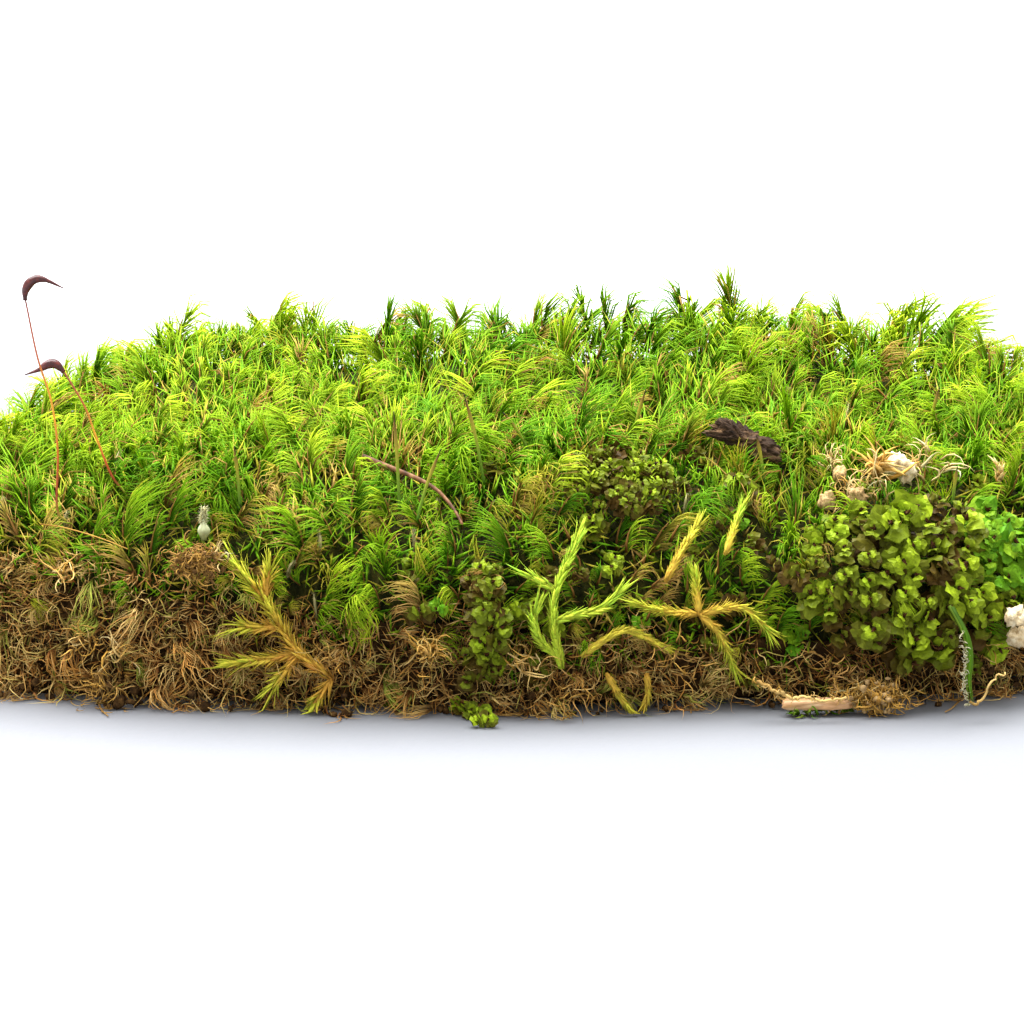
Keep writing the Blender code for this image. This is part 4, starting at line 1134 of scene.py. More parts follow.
def grow_liverwort(settings):
    """Leafy liverwort: a cushion of shoots on each patch, stray shoots between the moss, and a sprout on the
    floor."""
    # Liverwort: leaves one cell thick, grown flat with a wavy rim, a little translucent and shiny when moist.
    # The eye sees yellow-green scales with darker roots, round a brown bud.
    finish = leaf_finish("Liverwort leaf", [
        (0.03, "#1c100a", "#4a2c18"),
        (0.20, "#453a18", settings.brown),
        (0.45, "#4a5416", settings.olive),
        (0.70, "#5f7a1a", settings.young),
        (0.95, "#2c5212", settings.green),
    ], 0.42, 0.28, 0.5)
    for number, name in enumerate(PATCHES):
        cover_patch(number, name, settings, finish)
    draw = np.random.default_rng(39)
    turf = bpy.context.scene.moss_turf
    places, facing, room, above = seats(turf.gap, turf.gap_behind)
    stray = holds_liverwort(places)
    places = np.repeat(places[stray], 2, axis=0) + draw.normal(0, 0.95 * MM, (2 * stray.sum(), 3))
    facing = np.repeat(facing[stray], 2, axis=0)
    axis = unit(facing + draw.normal(0, 0.4, places.shape) + np.array([0, -0.3, 0.4]))
    size = np.clip(0.68 + draw.normal(0, 0.13, len(places)), 0.4, 0.95)
    own = 0.38 + 0.14 * waves(places, 9 * MM, 44) + draw.normal(0, 0.09, len(places))
    fresh = draw.random(len(places)) < 0.08
    parts = rosettes(places - (0.3 * MM) * facing, axis, size, own, fresh, settings.leaf, (4, 3), draw)
    piece("liverwort_strays", parts, finish, "liverwort", smooth_faces=False)
    feet = seen_on(LIVERWORT_SPROUT, 2, 0.9 * MM)
    axis = unit(np.array([0.1, -0.7, 0.8]) + draw.normal(0, 0.25, feet.shape))
    parts = rosettes(feet, axis, draw.uniform(0.5, 0.75, len(feet)), draw.uniform(0.5, 0.72, len(feet)),
                     np.zeros(len(feet), bool), settings.leaf, (4, 3), draw)
    for points, faces, where in parts:
        points[:, 2] = np.maximum(points[:, 2], 0.05 * MM)  # none lies in the floor
    piece("liverwort_sprout", parts, finish, "liverwort", smooth_faces=False)


# The stem and the branches of each sprig: x and z in millimetres from the foot up.
SPRIG_LINES = {
    "golden_shoot": [
        [(-18.0, 3.8), (-21.2, 6.3), (-23.0, 9.0), (-24.6, 11.9), (-27.4, 15.2)],
        [(-24.6, 11.9), (-24.1, 15.0)],
        [(-23.0, 9.0), (-27.3, 8.9)],
        [(-21.2, 6.3), (-27.6, 5.2)],
        [(-21.2, 6.3), (-23.9, 2.8)],
        [(-18.0, 3.8), (-19.8, 1.2)],
    ],
    "lime_shoot": [
        [(4.9, 5.2), (4.1, 10.2), (4.4, 13.2), (6.4, 17.6)],
        [(4.4, 13.2), (2.0, 14.6)],
        [(4.8, 6.2), (3.0, 8.0), (2.2, 10.2), (2.6, 11.8)],
        [(4.1, 10.2), (6.2, 10.8), (8.6, 11.3), (10.4, 12.6)],
    ],
    "olive_shoot": [
        [(18.6, 10.4), (22.9, 10.9), (25.8, 8.4)],
        [(18.6, 10.4), (14.6, 11.0), (12.4, 11.7)],
        [(18.6, 10.4), (18.3, 14.0)],
        [(18.6, 10.4), (20.6, 8.4), (22.4, 4.2)],
    ],
    "curved_shoot": [[(6.9, 6.4), (9.3, 8.3), (11.6, 9.0), (15.2, 7.0)]],
    "upright_shoot_left": [[(15.2, 13.6), (16.9, 16.4), (18.6, 18.6)]],
    "upright_shoot_right": [[(21.3, 15.9), (22.2, 18.0), (23.1, 19.9)]],
    "short_shoot_left": [[(9.4, 4.6), (10.4, 2.8), (11.6, 1.0)]],
    "short_shoot_right": [[(13.4, 4.4), (13.6, 2.7), (13.3, 1.2)]],
}
# Of each sprig: its tone at the foot and at the tips, how far its leaves stand open in degrees, and their
# share of the full leaf length.
SPRIG_STYLES = {
    "golden_shoot": (0.3, 0.66, 20, 1.25), "lime_shoot": (0.74, 0.79, 10, 0.95),
    "olive_shoot": (0.44, 0.7, 18, 0.85), "curved_shoot": (0.52, 0.6, 7, 0.8),
    "upright_shoot_left": (0.42, 0.62, 12, 0.8), "upright_shoot_right": (0.48, 0.8, 12, 0.72),
    "short_shoot_left": (0.4, 0.56, 9, 0.75), "short_shoot_right": (0.4, 0.5, 9, 0.75),
}


def on_solid(name, flat):
    """Lines given as x and z in millimetres, set at the depth of the plain solid that they run in: the mean
    depth of its corners, weighed by a bell curve of their distance seen from the front."""
    near = triangles_of(name)[0].reshape(-1, 3)
    flat = np.asarray(flat) * MM
    apart = (flat[:, :1] - near[:, 0]) ** 2 + (flat[:, 1:] - near[:, 2]) ** 2
    weight = np.exp(-apart / (2 * (0.7 * MM) ** 2)) + 1e-9
    depth = (weight * near[:, 1]).sum(1) / weight.sum(1)
    return np.stack((flat[:, 0], depth, flat[:, 1]), axis=-1)


def scales(line, spacing, opening, leaf, width, tones, draw, flatness=1.0):
    """Pointed scale leaves that overlap in a spiral round a stem. They lie close to it, and stand open like
    a brush at its tip. The less they open, the less they bend and the broader they are. Their tone runs from
    the foot of the stem to the tip. A flatness below one turns them to the two sides of the stem, as seen
    from the front. Each leaf is an arc that sets out from the stem by its opening."""
    places, along, share = evenly(line, spacing)
    count = len(places)
    around = np.arange(count) * GOLDEN_TURN + draw.normal(0, 0.5, count)
    first = sideways(along, np.broadcast_to((0.1, 0.9, 0.2), along.shape))
    second = np.cross(along, first)
    radial = unit((np.cos(around)[:, None] * first + np.sin(around)[:, None] * second) * (1, flatness, 1))
    brush = smooth((share - 0.72) / 0.28)
    open_by = np.radians(opening * (1 - 0.3 * brush) * draw.uniform(0.3, 1.6, count))[:, None]
    ahead = unit(np.cos(open_by) * along + np.sin(open_by) * radial)
    length = leaf * (0.8 + 0.55 * brush) * draw.uniform(0.6, 1.2, count)
    bend = np.radians(opening * draw.normal(0.7, 1.1, count))
    width = width * (1.7 - 0.035 * opening)
    path, ways = arcs(places + 0.4 * width * radial, ahead, sideways(ahead, radial), length, bend, 4)
    path[..., 2] = np.maximum(path[..., 2], LEAST_HEIGHT + 0.5 * width)
    tone = tones[0] + (tones[1] - tones[0]) * smooth(share * 1.1) + draw.normal(0, 0.045, count)
    half = 0.5 * width * (1 - 0.3 * brush) * draw.uniform(0.8, 1.15, count)
    return blades(path, ways, np.cross(radial, ahead), half, 0.4 * half, np.clip(tone, 0.04, 0.97), 0.9)


def grow_sprigs(settings):
    """Sprigs of feather moss: pointed scale leaves that overlap in a spiral round each stem, a little open,
    with a brush of them at the tips. A stem swells from its foot and then thins to its tip."""
    # Scale leaves of a feather moss, one cell thick, which grow pressed together and bleach where they lack
    # light. The eye sees a braided cord, golden at its foot and lime at its tip, with a silky glint.
    finish = leaf_finish("Feather moss leaf", [
        (0.03, "#4d2a10", settings.stem),
        (0.22, "#b0722e", "#cf9440"),
        (0.45, "#d6ac44", settings.gold),
        (0.62, "#d4ca40", settings.lemon),
        (0.80, "#aece3a", settings.lime),
        (0.95, "#7fb42e", "#9ad33f"),
    ], 0.45, 0.35, 0.3)
    for number, (name, lines) in enumerate(SPRIG_LINES.items()):
        draw = np.random.default_rng(61 + number)
        parts = []
        low_tone, high_tone, opening, share = SPRIG_STYLES[name]
        for flat in lines:
            line = line_through(on_solid(name, flat), 6)
            parts.append(scales(line, settings.spacing * share, opening, settings.leaf * share,
                                settings.width * share, (low_tone, high_tone), draw, 0.6))
            parts.append(tube(line, lambda t: (0.12 + 0.3 * smooth(6 * t)) * (1 - 0.7 * t) * MM, 6, low_tone))
        slot = "lime_moss" if name in ("lime_shoot", "olive_shoot") else "golden_moss"
        piece(name + "_leaves", parts, finish, slot, name)


# Spore stalks: x and z in millimetres from the foot up, and the y of the plane that they stand in.
STALK_LINES = {
    "tall_stalk": (-32.5, [(-44.9, 18.4), (-45.8, 19.8), (-45.6, 25.6), (-46.1, 30.6), (-47.4, 35.2),
                           (-48.4, 40.5), (-48.5, 41.0)]),
    "short_stalk": (-29.5, [(-39.2, 20.7), (-40.6, 22.6), (-42.0, 26.4), (-43.1, 29.6), (-44.9, 32.8),
                            (-45.2, 33.2)]),
}
CAPSULE_LINES = {
    "tall_capsule": (-32.5, [(-48.5, 40.9), (-48.4, 42.0), (-47.7, 42.9), (-46.6, 43.0), (-44.6, 42.1)]),
    "short_capsule": (-29.5, [(-45.1, 33.1), (-45.9, 33.9), (-46.7, 33.9), (-47.5, 33.4), (-49.1, 32.8)]),
}


def upright_line(y, flat, steps):
    """A smooth line through places x and z on the plane at y, all in millimetres."""
    return line_through([(x * MM, y * MM, z * MM) for x, z in flat], steps)


def capsule_radius(t):
    """The radius of a capsule along its length: a bulge of half a sine wave, and past it a thinning beak."""
    body = 0.11 + 0.36 * np.sin(np.pi * np.clip(t / 0.7, 0, 1)) ** 0.8
    beak = 0.05 + 0.17 * np.clip((1 - t) / 0.36, 0, 1)
    return np.maximum(body * (t < 0.7), beak) * MM


def young_radius(t):
    """The radius of a young stalk along its length: even, a little wider under its cap, then pointed."""
    return (0.17 + 0.03 * smooth((t - 0.55) / 0.15) - 0.15 * smooth((t - 0.7) / 0.3)) * MM


def young_line(name):
    """The line of a young stalk through the foot, the middle and the tip of its plain solid."""
    near = triangles_of(name)[0].reshape(-1, 3)
    order = near[np.argsort(near[:, 2])]
    part, half = max(3, len(order) // 6), len(order) // 2
    foot, middle, tip = order[:part].mean(0), order[half - part:half + part].mean(0), order[-part:].mean(0)
    return line_through([foot - (tip - foot) * 0.06, middle, tip + (tip - foot) * 0.04], 8)


def grow_stalks(settings):
    """Two spore stalks with their capsules, and young stalks with dark pointed caps: tubes along lines."""
    # A spore stalk: hard, wiry and smooth, grown with a waxy skin. It is green at its foot, then red-brown
    # and amber, and a thin bright glint runs along it.
    wiry = stalk_finish("Wiry spore stalk", [
        (0.0, "#7f8428"), (0.14, "#8a3a1c"), (0.3, "#b5561f"), (0.5, settings.amber), (0.72, "#a8562c"),
        (1.0, "#7c403a")], 0.34, 0.25)
    for name, (y, flat) in STALK_LINES.items():
        line = upright_line(y, flat, 8)
        line[:, 1] += 0.12 * MM * np.sin(line[:, 2] / (3 * MM))
        parts = [tube(line, lambda t: settings.foot + (settings.tip - settings.foot) * t, 8)]
        piece(name + "_skin", parts, wiry, "stalk", name)
    # The wall of a ripe capsule: leathery, and drawn into shallow ribs as it dried. It is dark red-brown
    # with a soft sheen.
    wall = grained_finish(
        "Ripe capsule wall", [(0.3, "#22090b"), (0.55, settings.wall), (0.75, "#743024")],
        0.5 * MM, (1, 1, 1), 0.36, 0.03 * MM, 0.15 * MM)
    for name, (y, flat) in CAPSULE_LINES.items():
        line = upright_line(y, flat, 10)
        parts = [tube(line, capsule_radius, 16, ribs=8, rib_depth=0.05)]
        piece(name + "_skin", parts, wall, "capsule", name)
    # Young stalks that haven't ripened: green and waxy, under a thin dark cap that dries to a point.
    fresh = stalk_finish("Young stalk and cap", [
        (0.0, "#3f6418"), (0.35, settings.young), (0.62, "#948c2c"), (0.82, "#6a5420"),
        (0.95, settings.cap)], 0.45, 0.15)
    names = [f"young_stalk_{number}" for number in range(1, 10)]
    parts = [tube(young_line(name), young_radius, 7) for name in names]
    piece("young_stalks", parts, fresh, "stalk", *names)


def fibres(middle, spread, count, length, width, tone, bend, draw, wish=(0, 0, 0)):
    """Loose curled fibres round a place: blades that start near it by chance, in arcs that bend a long way
    round, pushed across themselves by a sine wave. The wish draws them one way."""
    base = np.asarray(middle) + draw.normal(0, 1, (count, 3)) * np.asarray(spread)
    ahead = unit(draw.normal(size=(count, 3)) + np.asarray(wish))
    side = sideways(ahead, draw.normal(size=(count, 3)))
    path, along = arcs(base, ahead, side, length * draw.uniform(0.6, 1.3, count),
                       np.radians(bend) * draw.uniform(0.5, 1.4, count), 6)
    path = crimped(path, np.cross(ahead, side), 0.2 * MM, 1.2, draw)
    path[..., 2] = np.maximum(path[..., 2], LEAST_HEIGHT)
    half = 0.5 * width * draw.uniform(0.6, 1.3, count)
    tone = np.clip(tone + draw.normal(0, 0.07, count), LOWEST_TONE, HIGHEST_TONE)
    return blades(path, along, np.cross(ahead, side), half, 1.2 * half, tone)


def middle_of(name):
    """The middle of a plain solid and half its sizes."""
    low, high = (np.array(corner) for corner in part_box(name))
    return (low + high) / 2, (high - low) / 2


def rise_of(half):
    """From the middle of a box straight up to its top."""
    return half * (0, 0, 1)


# The crumbs that are tan; the others are pale.
TAN_CRUMBS = (2, 3, 4)

# The drooping leaf and its root, in millimetres: down from its foot to its tip, which is the fifth place,
# then up again to the right.
STRAP_LINE = ((43.6, -40.5, 11.4), (44.9, -42.5, 9.0), (45.3, -42.7, 6.6), (45.2, -42.6, 4.4),
              (45.6, -42.5, 2.0), (46.6, -42.3, 2.4), (47.6, -42.0, 4.1), (48.9, -41.6, 5.0))
STRAP_END = 5

# Loose tufts: pixels across and down, how many threads, their length and width in millimetres, tone, bend in
# degrees and how far their feet are apart in millimetres.
LOOSE_THREADS = (
    (868, 500, 30, 3.4, 0.2, 0.72, 150, 0.9), (912, 466, 16, 4.2, 0.4, 0.77, 120, 1.0),
    (828, 478, 22, 1.8, 0.26, 0.76, 120, 0.6), (846, 512, 18, 2.2, 0.2, 0.68, 140, 0.7),
    (445, 645, 40, 2.6, 0.3, 0.58, 65, 0.45), (72, 590, 14, 3.0, 0.28, 0.66, 60, 0.5),
    (505, 575, 16, 1.8, 0.24, 0.42, 110, 0.5), (412, 655, 16, 2.2, 0.2, 0.45, 150, 0.6),
    (330, 655, 14, 2.0, 0.22, 0.4, 90, 0.5), (985, 640, 14, 2.4, 0.2, 0.6, 100, 0.8),
    (935, 470, 10, 3.0, 0.2, 0.7, 140, 0.8), (228, 545, 8, 2.4, 0.3, 0.78, 60, 0.4),
    (104, 676, 60, 2.5, 0.2, 0.4, 190, 1.4), (120, 634, 14, 3.2, 0.24, 0.66, 150, 0.5),
    (72, 640, 26, 2.8, 0.2, 0.52, 140, 1.0), (418, 664, 22, 2.2, 0.22, 0.44, 170, 0.7),
    (822, 655, 34, 2.6, 0.2, 0.35, 150, 1.3), (340, 655, 20, 2.4, 0.2, 0.45, 150, 1.0),
    (515, 662, 26, 3.2, 0.24, 0.6, 110, 0.6), (560, 690, 24, 2.8, 0.2, 0.45, 140, 1.2),
    (690, 645, 32, 2.4, 0.2, 0.42, 150, 1.3),
)

# Single lines, in pixels across and down: a fine root on the left of the front, the strand above the
# splinter, rootlets that lie on the floor, and the feet of the green sprout under the splinter.
FINE_ROOT = ((40, 524), (66, 528), (100, 538), (128, 549))
SPLINTER_STRAND = ((756, 681), (764, 684), (771, 690), (782, 693), (792, 698), (806, 697), (822, 701),
                   (845, 698))
FLOOR_ROOTS = (((176, 703), (195, 707), (213, 704), (236, 699)), ((330, 706), (345, 710), (352, 703)),
               ((682, 703), (690, 705), (691, 713)), ((960, 700), (952, 708), (945, 712)),
               ((98, 700), (101, 709), (108, 716)))
FLOOR_SPROUT = ((803, 714), (822, 710), (843, 710))


def even_radius(foot, tip):
    """A radius that changes evenly from one size to another, both in millimetres."""
    return lambda t: (foot + (tip - foot) * t) * MM


def needle_finish(settings):
    """The finish of the needle: a noise on object coordinates picks its colour."""
    # A fallen pine needle that dried in the open and shrank along its channels: satin, and mottled brown
    # with spots of about a millimetre.
    made, tree = new_finish("Dry pine needle")
    spot = add(tree, "TexCoord")
    noise = add(tree, "TexNoise", {"Vector": spot.outputs["Object"], "Scale": 900.0, "Detail": 3.0})
    hue = add(tree, "ValToRGB", {"Fac": noise.outputs["Fac"]}, [
        (0.35, "#3c2616"), (0.52, settings.needle), (0.7, "#9c7650")])
    shader = add(tree, "BsdfPrincipled", {"Base Color": hue.outputs["Color"], "Roughness": 0.55, "IOR": 1.5,
                                          "Specular IOR Level": 0.15})
    add(tree, "OutputMaterial", {"Surface": shader.outputs["BSDF"]})
    return made


def lay_wood(settings, tan):
    """The needle, a ribbed tube through the middles of slices of its plain solid, and the splinter, the chip
    of bark and the crumbs, each one a broken lump."""
    near = triangles_of("pine_needle")[0].reshape(-1, 3)
    slices = np.linspace(near[:, 0].min(), near[:, 0].max(), 9)
    weight = np.exp(-((slices[:, None] - near[:, 0]) / (0.8 * MM)) ** 2)
    route = (weight @ near) / weight.sum(1, keepdims=True)
    parts = [tube(line_through(route, 6), even_radius(0.33, 0.13), 8, ribs=4, rib_depth=0.12)]
    piece("pine_needle_skin", parts, needle_finish(settings), "needle", "pine_needle")

    # A splinter torn from softwood and bleached by rain and sun: pale, fibrous along its length and matt.
    wood = grained_finish(
        "Weathered softwood",
        [(0.3, "#3d2818"), (0.37, "#b08450"), (0.55, settings.splinter), (0.72, "#dec096")],
        0.7 * MM, (0.15, 1, 1), 0.75, 0.06 * MM, 0.25 * MM, 0.15)
    middle, half = middle_of("wood_splinter")
    parts = [lumpy(middle, half * (1, 0.8, 0.95), (0, 0, 2), 0.95, 0.06, 1.2 * MM, 71, (64, 40))]
    piece("wood_splinter_skin", parts, wood, "pale_wood", "wood_splinter")

    # Pine bark: dead cork in thin plates that flaked off the tree. It is dark and rough, paler at its edges.
    bark = grained_finish(
        "Pine bark", [(0.32, "#120d08"), (0.5, settings.bark), (0.6, "#6a523a"), (0.74, "#b8946a")],
        1.6 * MM, (0.35, 1, 1.4), 0.85, 0.16 * MM, 0.35 * MM, 0.15)
    middle, half = middle_of("bark_chip")
    parts = [lumpy(middle, (3.5 * MM, 1.3 * MM, 1.0 * MM), (12, 24, -5), 0.6, 0.19, 0.9 * MM, 72, (72, 48))]
    piece("bark_chip_skin", parts, bark, "bark", "bark_chip")

    # Wood that rot has bleached and softened until it breaks into crumbs: cream coloured, chalky and matt.
    pale = grained_finish(
        "Rotted pale wood", [(0.3, "#a08258"), (0.5, settings.pale), (0.7, "#f0e6c8")],
        0.6 * MM, (1, 1, 1), 0.8, 0.1 * MM, 0.22 * MM)
    for number in range(1, 7):
        name = f"cream_crumb_{number}"
        middle, half = middle_of(name)
        turn = (20 * number, 35 * number, 0)
        parts = [lumpy(middle, half * 0.95, turn, 0.3, 0.2, 1.0 * MM, 80 + number, (28, 18))]
        piece(name + "_skin", parts, tan if number in TAN_CRUMBS else pale, "pale_wood", name)


def lay_tufts(straw, tan, draw):
    """The reddish litter, the tuft of roots with its crumbs, and the curled dead leaf: fibres and grains."""
    middle, half = middle_of("red_litter")
    parts = [fibres(middle, half * 0.45, 330, 1.7 * MM, 0.24 * MM, 0.37, 210, draw)]
    spots = middle + draw.normal(0, 0.4, (40, 3)) * half
    parts.append(grains(spots, draw.uniform(0.15, 0.4, 40) * MM, draw, 0.25))
    piece("red_litter_threads", parts, straw, "red_moss", "red_litter")
    middle, half = middle_of("root_tuft")
    left, few = middle + half * (-1, 0, 0.4), half * (0.6, 0.3, 0.3)
    parts = [fibres(middle, half * (0.75, 0.4, 0.35), 210, 2.0 * MM, 0.2 * MM, 0.5, 130, draw,
                    (0, -0.2, -0.4)),
             fibres(left, few, 70, 1.8 * MM, 0.18 * MM, 0.62, 90, draw)]
    spots = middle + draw.normal(0, 0.45, (60, 3)) * half
    parts.append(grains(spots, draw.uniform(0.2, 0.5, 60) * MM, draw, 0.4))
    piece("root_tuft_threads", parts, straw, "red_moss", "root_tuft")
    spots = middle + draw.normal(0, 0.42, (130, 3)) * half
    parts = [grains(spots, draw.uniform(0.12, 0.42, 130) * MM, draw)]
    piece("root_tuft_crumbs", parts, tan, "pale_wood")
    middle, half = middle_of("dead_leaf")
    foot = middle - rise_of(half) + (0, -0.3 * MM, 1.3 * MM)
    spread = np.array([0.35, 0.2, 0.5]) * MM
    parts = [fibres(foot, spread, 26, 3.8 * MM, 0.75 * MM, 0.58, 85, draw, (0.2, -0.5, 2.6))]
    piece("dead_leaf_blades", parts, straw, "dead_leaf", "dead_leaf")


def lay_buds(straw, draw):
    """The brown bud, a short stem in scales, and the white bud, a ribbed bulb under a felted tip."""
    middle, half = middle_of("brown_bud")
    rise = rise_of(half)
    line = line_through([middle - rise, middle + (0.15 * MM, 0, 0), middle + 0.35 * rise], 6)
    parts = [scales(line, 0.09 * MM, 15, 1.05 * half[2], 0.8 * half[0], (0.58, 0.7), draw),
             tube(line, lambda t: 0.5 * half[0] * (1 - 0.7 * t), 7, 0.7)]
    piece("brown_bud_scales", parts, straw, "pale_wood", "brown_bud")
    middle, half = middle_of("white_bud")
    line = line_through([middle - rise_of(half), middle, middle + 0.9 * rise_of(half)], 6)
    parts = [tube(line, lambda t: half[0] * (0.35 + 0.55 * np.sin(np.pi * np.clip(1.7 * t, 0, 1)) ** 2
                                             - 0.15 * t), 9, 0.97, 5, 0.12)]
    parts += felted(np.array([middle]), np.array([[0.05, -0.1, 1.0]]), np.array([1.1 * half[2]]),
                    0.42 * half[0], 0.9, 260, draw)
    piece("white_bud_felt", parts, straw, "pale_wood", "white_bud")


def lay_leaves(settings, draw):
    """The drooping leaf, three folded blades side by side with a felt of pale hairs, and the green sprout
    under the splinter."""
    # A strap-shaped leaf gone limp and folded along its length, with a felt of pale hairs on its edge. It is
    # a dull green that lets some light through.
    green = leaf_finish("Drooping leaf", [
        (0.1, "#34500c", settings.leaf), (0.5, "#6c7a1e", "#a0a440"), (0.9, "#b9b48a", "#ded8b8")], 0.6, 0.25)
    route = line_through(np.array(STRAP_LINE[:STRAP_END]) * MM, 4)
    folds = route + np.array([(-0.22, 0.05, 0.1), (0.05, -0.12, 0), (0.25, 0.05, -0.15)])[:, None] * MM
    along = np.broadcast_to(unit(np.gradient(route, axis=0)), folds.shape)
    across = np.array([(0.9, -0.3, 0.3), (0.95, 0.1, 0.3), (0.8, 0.5, 0.3)])
    half = np.array([0.26, 0.3, 0.2]) * MM
    parts = [blades(folds, along, across, half, 0.5 * half, np.array([0.2, 0.1, 0.16]), 0.8)]
    for place in route[4:]:
        edge = place - (0.38 * MM, 0, 0)
        parts.append(fibres(edge, np.full(3, 0.1 * MM), 9, 0.55 * MM, 0.14 * MM, 0.92, 90, draw))
    piece("strap_leaf_blade", parts, green, "lime_moss", "strap_leaf")
    spread = np.array([0.9, 0.2, 0.1]) * MM
    parts = [fibres(place, spread, 16, 1.5 * MM, 0.42 * MM, 0.2, 70, draw, (0, -0.2, 0.7))
             for place in seen_on(FLOOR_SPROUT, 2, 0.4 * MM)]
    piece("floor_sprout", parts, green, "lime_moss")


def lay_threads(straw, draw):
    """Loose tufts all over the clump, and single roots: tubes along lines that a sine wave makes uneven."""
    turf = bpy.context.scene.moss_turf
    places, facing, room, above = seats(turf.gap, turf.gap_behind)
    parts = []
    for across, down, count, length, width, tone, bend, spread in LOOSE_THREADS:
        near = seen_at([(across, down)], places)[0]
        parts.append(fibres(places[near] + 1.7 * MM * facing[near], np.full(3, spread * MM), count,
                            length * MM, width * MM, tone, bend, draw, 1.3 * facing[near] + (0, 0, 0.3)))
    parts.append(tube(line_through(seen_on(FINE_ROOT, 1, -38 * MM), 8), even_radius(0.07, 0.05), 5, 0.5))
    root = line_through(np.array(STRAP_LINE[STRAP_END - 1:]) * MM, 8)
    root = root + 0.2 * MM * np.sin(root[:, :1] / MM * (7, 5, 9))
    parts.append(tube(root, even_radius(0.15, 0.08), 6, 0.66))
    strand = line_through(seen_on(SPLINTER_STRAND, 1, -42.4 * MM), 6)
    uneven = strand + 0.12 * MM * np.sin(strand[:, :1] / MM * (5, 7, 9))
    parts.append(tube(uneven, even_radius(0.2, 0.12), 6, 0.66))
    for place in strand[::8]:
        parts.append(fibres(place, np.full(3, 0.2 * MM), 7, 1.1 * MM, 0.14 * MM, 0.6, 120, draw))
    for spots in FLOOR_ROOTS:
        line = line_through(seen_on(spots, 2, LEAST_HEIGHT), 5)
        parts.append(tube(line, even_radius(0.13, 0.06), 6, 0.3))
    piece("loose_threads", parts, straw, "red_moss")


def grow_litter(settings):
    """The needle, bark, splinter, crumbs, buds, dead leaves and litter that lie on the clump."""
    # Rotted wood, less far gone than the pale crumbs and stained by soil: tan, crumbly and matt.
    tan = grained_finish(
        "Rotted tan wood", [(0.3, "#64492a"), (0.5, settings.tan), (0.7, "#cdb180")],
        0.5 * MM, (1, 1, 1), 0.85, 0.12 * MM, 0.2 * MM)
    lay_wood(settings, tan)
    # Old stems, rootlets and leaf ribs that dried in the open: straw to rust and matt, and the finest let a
    # little light through.
    straw = leaf_finish("Dry moss threads", [
        (0.05, "#33200f", "#66472a"), (0.3, "#6a4c28", "#a07c48"), (0.55, "#9a7028", settings.straw),
        (0.8, "#b0935c", "#e9d79c"), (0.97, "#959c68", "#cdd2a6")], 0.6, 0.15)
    draw = np.random.default_rng(91)
    lay_tufts(straw, tan, draw)
    lay_buds(straw, draw)
    lay_leaves(settings, draw)
    lay_threads(straw, draw)


def set_stage(settings):
    """A white foam sheet, a broad soft light above and light from all around, and the camera."""
    # Packing foam: a white plastic sheet blown full of bubbles, with a fine dull grain where it was cut. Near
    # the clump its colour is a painted grey shade that fades to white further out; this keeps the soft light
    # from burning the floor out there and hiding the shadow.
    made, tree = new_finish("White foam sheet")
    spot = add(tree, "TexCoord")
    # Cells of the foam are about 0.4 mm; they are drawn at 0.9 mm so that they show.
    cells = add(tree, "TexNoise", {"Vector": spot.outputs["Object"], "Scale": 1 / (0.9 * MM), "Detail": 3.0})
    raised = add(tree, "Bump", {"Height": cells.outputs["Fac"], "Strength": 0.35, "Distance": 0.12 * MM})
    tint = add(tree, "MapRange", {"Value": cells.outputs["Fac"], "To Min": 0.97, "To Max": 1.0})
    # Painted shade: the floor is grey near the clump and fades to the far white between 0.1 and 0.4 m out.
    away = add(tree, "VectorMath", {0: spot.outputs["Object"]}, operation="LENGTH")
    pale = add(tree, "MapRange", {"Value": away.outputs["Value"], "From Min": 0.1, "From Max": 0.4},
               interpolation_type="SMOOTHSTEP")
    sheet = add(tree, "Mix", {"Factor": pale.outputs["Result"], "A": (*settings.floor, 1),
                              "B": (*settings.far, 1)}, data_type="RGBA")
    colour = add(tree, "Mix", {"Factor": 1.0, "A": sheet.outputs["Result"], "B": tint.outputs["Result"]},
                 data_type="RGBA", blend_type="MULTIPLY")
    shader = add(tree, "BsdfPrincipled", {"Base Color": colour.outputs["Result"], "Roughness": 0.7,
                                          "Normal": raised.outputs["Normal"], "IOR": 1.45})
    add(tree, "OutputMaterial", {"Surface": shader.outputs["BSDF"]})
    mesh = bpy.data.meshes.new("floor")
    corners = [(x * FLOOR_EDGE, y * FLOOR_EDGE, 0) for x, y in ((-1, -1), (1, -1), (1, 1), (-1, 1))]
    mesh.from_pydata(corners, [], [(0, 1, 2, 3)])
    mesh.materials.append(made)
    floor = bpy.data.objects.new("floor", mesh)
    bpy.context.scene.collection.objects.link(floor)

    world = bpy.data.worlds.new("Soft surround")
    world.use_nodes = True
    world.node_tree.nodes["Background"].inputs["Color"].default_value = (1, 1, 1, 1)
    world.node_tree.nodes["Background"].inputs["Strength"].default_value = settings.sky
    bpy.context.scene.world = world
    lamp = bpy.data.lights.new("Soft light", "AREA")
    lamp.energy = settings.key
    lamp.shape = "RECTANGLE"
    lamp.size, lamp.size_y = LAMP_SIZE
    above = bpy.data.objects.new("Soft light", lamp)
    above.location = LAMP_PLACE
    above.rotation_euler = (math.radians(-12), math.radians(-12), 0)
    bpy.context.scene.collection.objects.link(above)

    view = bpy.data.cameras.new("Camera")
    view.lens, view.sensor_width = CAMERA_LENS, SENSOR
    view.clip_start, view.clip_end = 0.01, 20
    eye = bpy.data.objects.new("Camera", view)
    eye.location = CAMERA_PLACE
    eye.rotation_euler = (math.radians(90 - CAMERA_PITCH), 0, 0)
    bpy.context.scene.collection.objects.link(eye)
    bpy.context.scene.camera = eye
    bpy.context.scene.view_settings.view_transform = "Standard"


# -------------------- the add-on


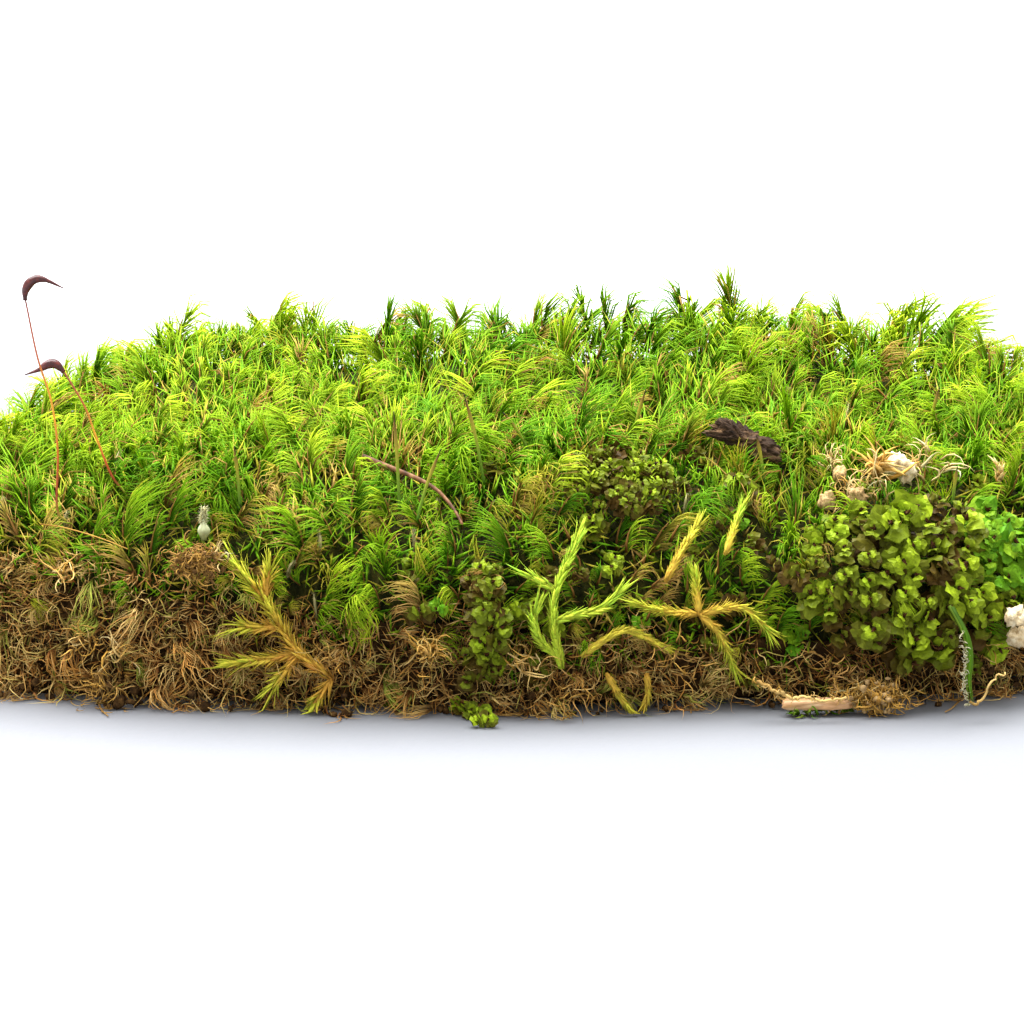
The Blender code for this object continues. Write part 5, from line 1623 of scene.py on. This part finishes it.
class MOSS_OT_turf(bpy.types.Operator):
    """Grow the green turf"""
    bl_idname = "moss.turf"
    bl_label = "Green turf"

    def execute(self, context):
        grow_turf(context.scene.moss_turf)
        return {"FINISHED"}


class MOSS_OT_mat(bpy.types.Operator):
    """Grow the brown mat"""
    bl_idname = "moss.mat"
    bl_label = "Brown mat"

    def execute(self, context):
        grow_mat(context.scene.moss_mat)
        return {"FINISHED"}


class MOSS_OT_liverwort(bpy.types.Operator):
    """Grow the patches of liverwort"""
    bl_idname = "moss.liverwort"
    bl_label = "Liverwort"

    def execute(self, context):
        grow_liverwort(context.scene.moss_liverwort)
        return {"FINISHED"}


class MOSS_OT_sprigs(bpy.types.Operator):
    """Grow the sprigs of feather moss"""
    bl_idname = "moss.sprigs"
    bl_label = "Feather moss"

    def execute(self, context):
        grow_sprigs(context.scene.moss_sprigs)
        return {"FINISHED"}


class MOSS_OT_stalks(bpy.types.Operator):
    """Raise the spore stalks and their capsules"""
    bl_idname = "moss.stalks"
    bl_label = "Spore stalks"

    def execute(self, context):
        grow_stalks(context.scene.moss_stalks)
        return {"FINISHED"}


class MOSS_OT_litter(bpy.types.Operator):
    """Lay the needle, bark, crumbs and litter on the clump"""
    bl_idname = "moss.litter"
    bl_label = "Litter"

    def execute(self, context):
        grow_litter(context.scene.moss_litter)
        return {"FINISHED"}


class MOSS_OT_stage(bpy.types.Operator):
    """Set the floor, the light and the camera"""
    bl_idname = "moss.stage"
    bl_label = "Stage"

    def execute(self, context):
        set_stage(context.scene.moss_stage)
        return {"FINISHED"}


class MOSS_PT_panel(bpy.types.Panel):
    """Buttons and settings for the moss clump"""
    bl_label = "Moss Clump"
    bl_idname = "MOSS_PT_panel"
    bl_space_type = "VIEW_3D"
    bl_region_type = "UI"
    bl_category = "Moss"

    def draw(self, context):
        for operator in OPERATORS:
            self.layout.operator(operator.bl_idname)
        for name in SETTINGS:
            box = self.layout.box()
            group = getattr(context.scene, name)
            for setting in group.__annotations__:
                box.prop(group, setting)


OPERATORS = (MOSS_OT_stage, MOSS_OT_turf, MOSS_OT_mat, MOSS_OT_liverwort, MOSS_OT_sprigs, MOSS_OT_stalks,
             MOSS_OT_litter)
SETTINGS = {
    "moss_turf": MossTurfSettings, "moss_mat": MossMatSettings, "moss_liverwort": MossLiverwortSettings,
    "moss_sprigs": MossSprigSettings, "moss_stalks": MossStalkSettings, "moss_litter": MossLitterSettings,
    "moss_stage": MossStageSettings,
}


def register():
    """Registers the classes and hangs the settings on the scene."""
    for kind in (*SETTINGS.values(), *OPERATORS, MOSS_PT_panel):
        bpy.utils.register_class(kind)
    for name, kind in SETTINGS.items():
        setattr(bpy.types.Scene, name, PointerProperty(type=kind))


def unregister():
    """Takes the settings off the scene and the classes away."""
    for name in SETTINGS:
        delattr(bpy.types.Scene, name)
    for kind in (MOSS_PT_panel, *OPERATORS, *SETTINGS.values()):
        bpy.utils.unregister_class(kind)


def main():
    """Grows every piece in order."""
    register()
    for operator in OPERATORS:
        area, name = operator.bl_idname.split(".")
        getattr(getattr(bpy.ops, area), name)()


if __name__ == "__main__":
    main()
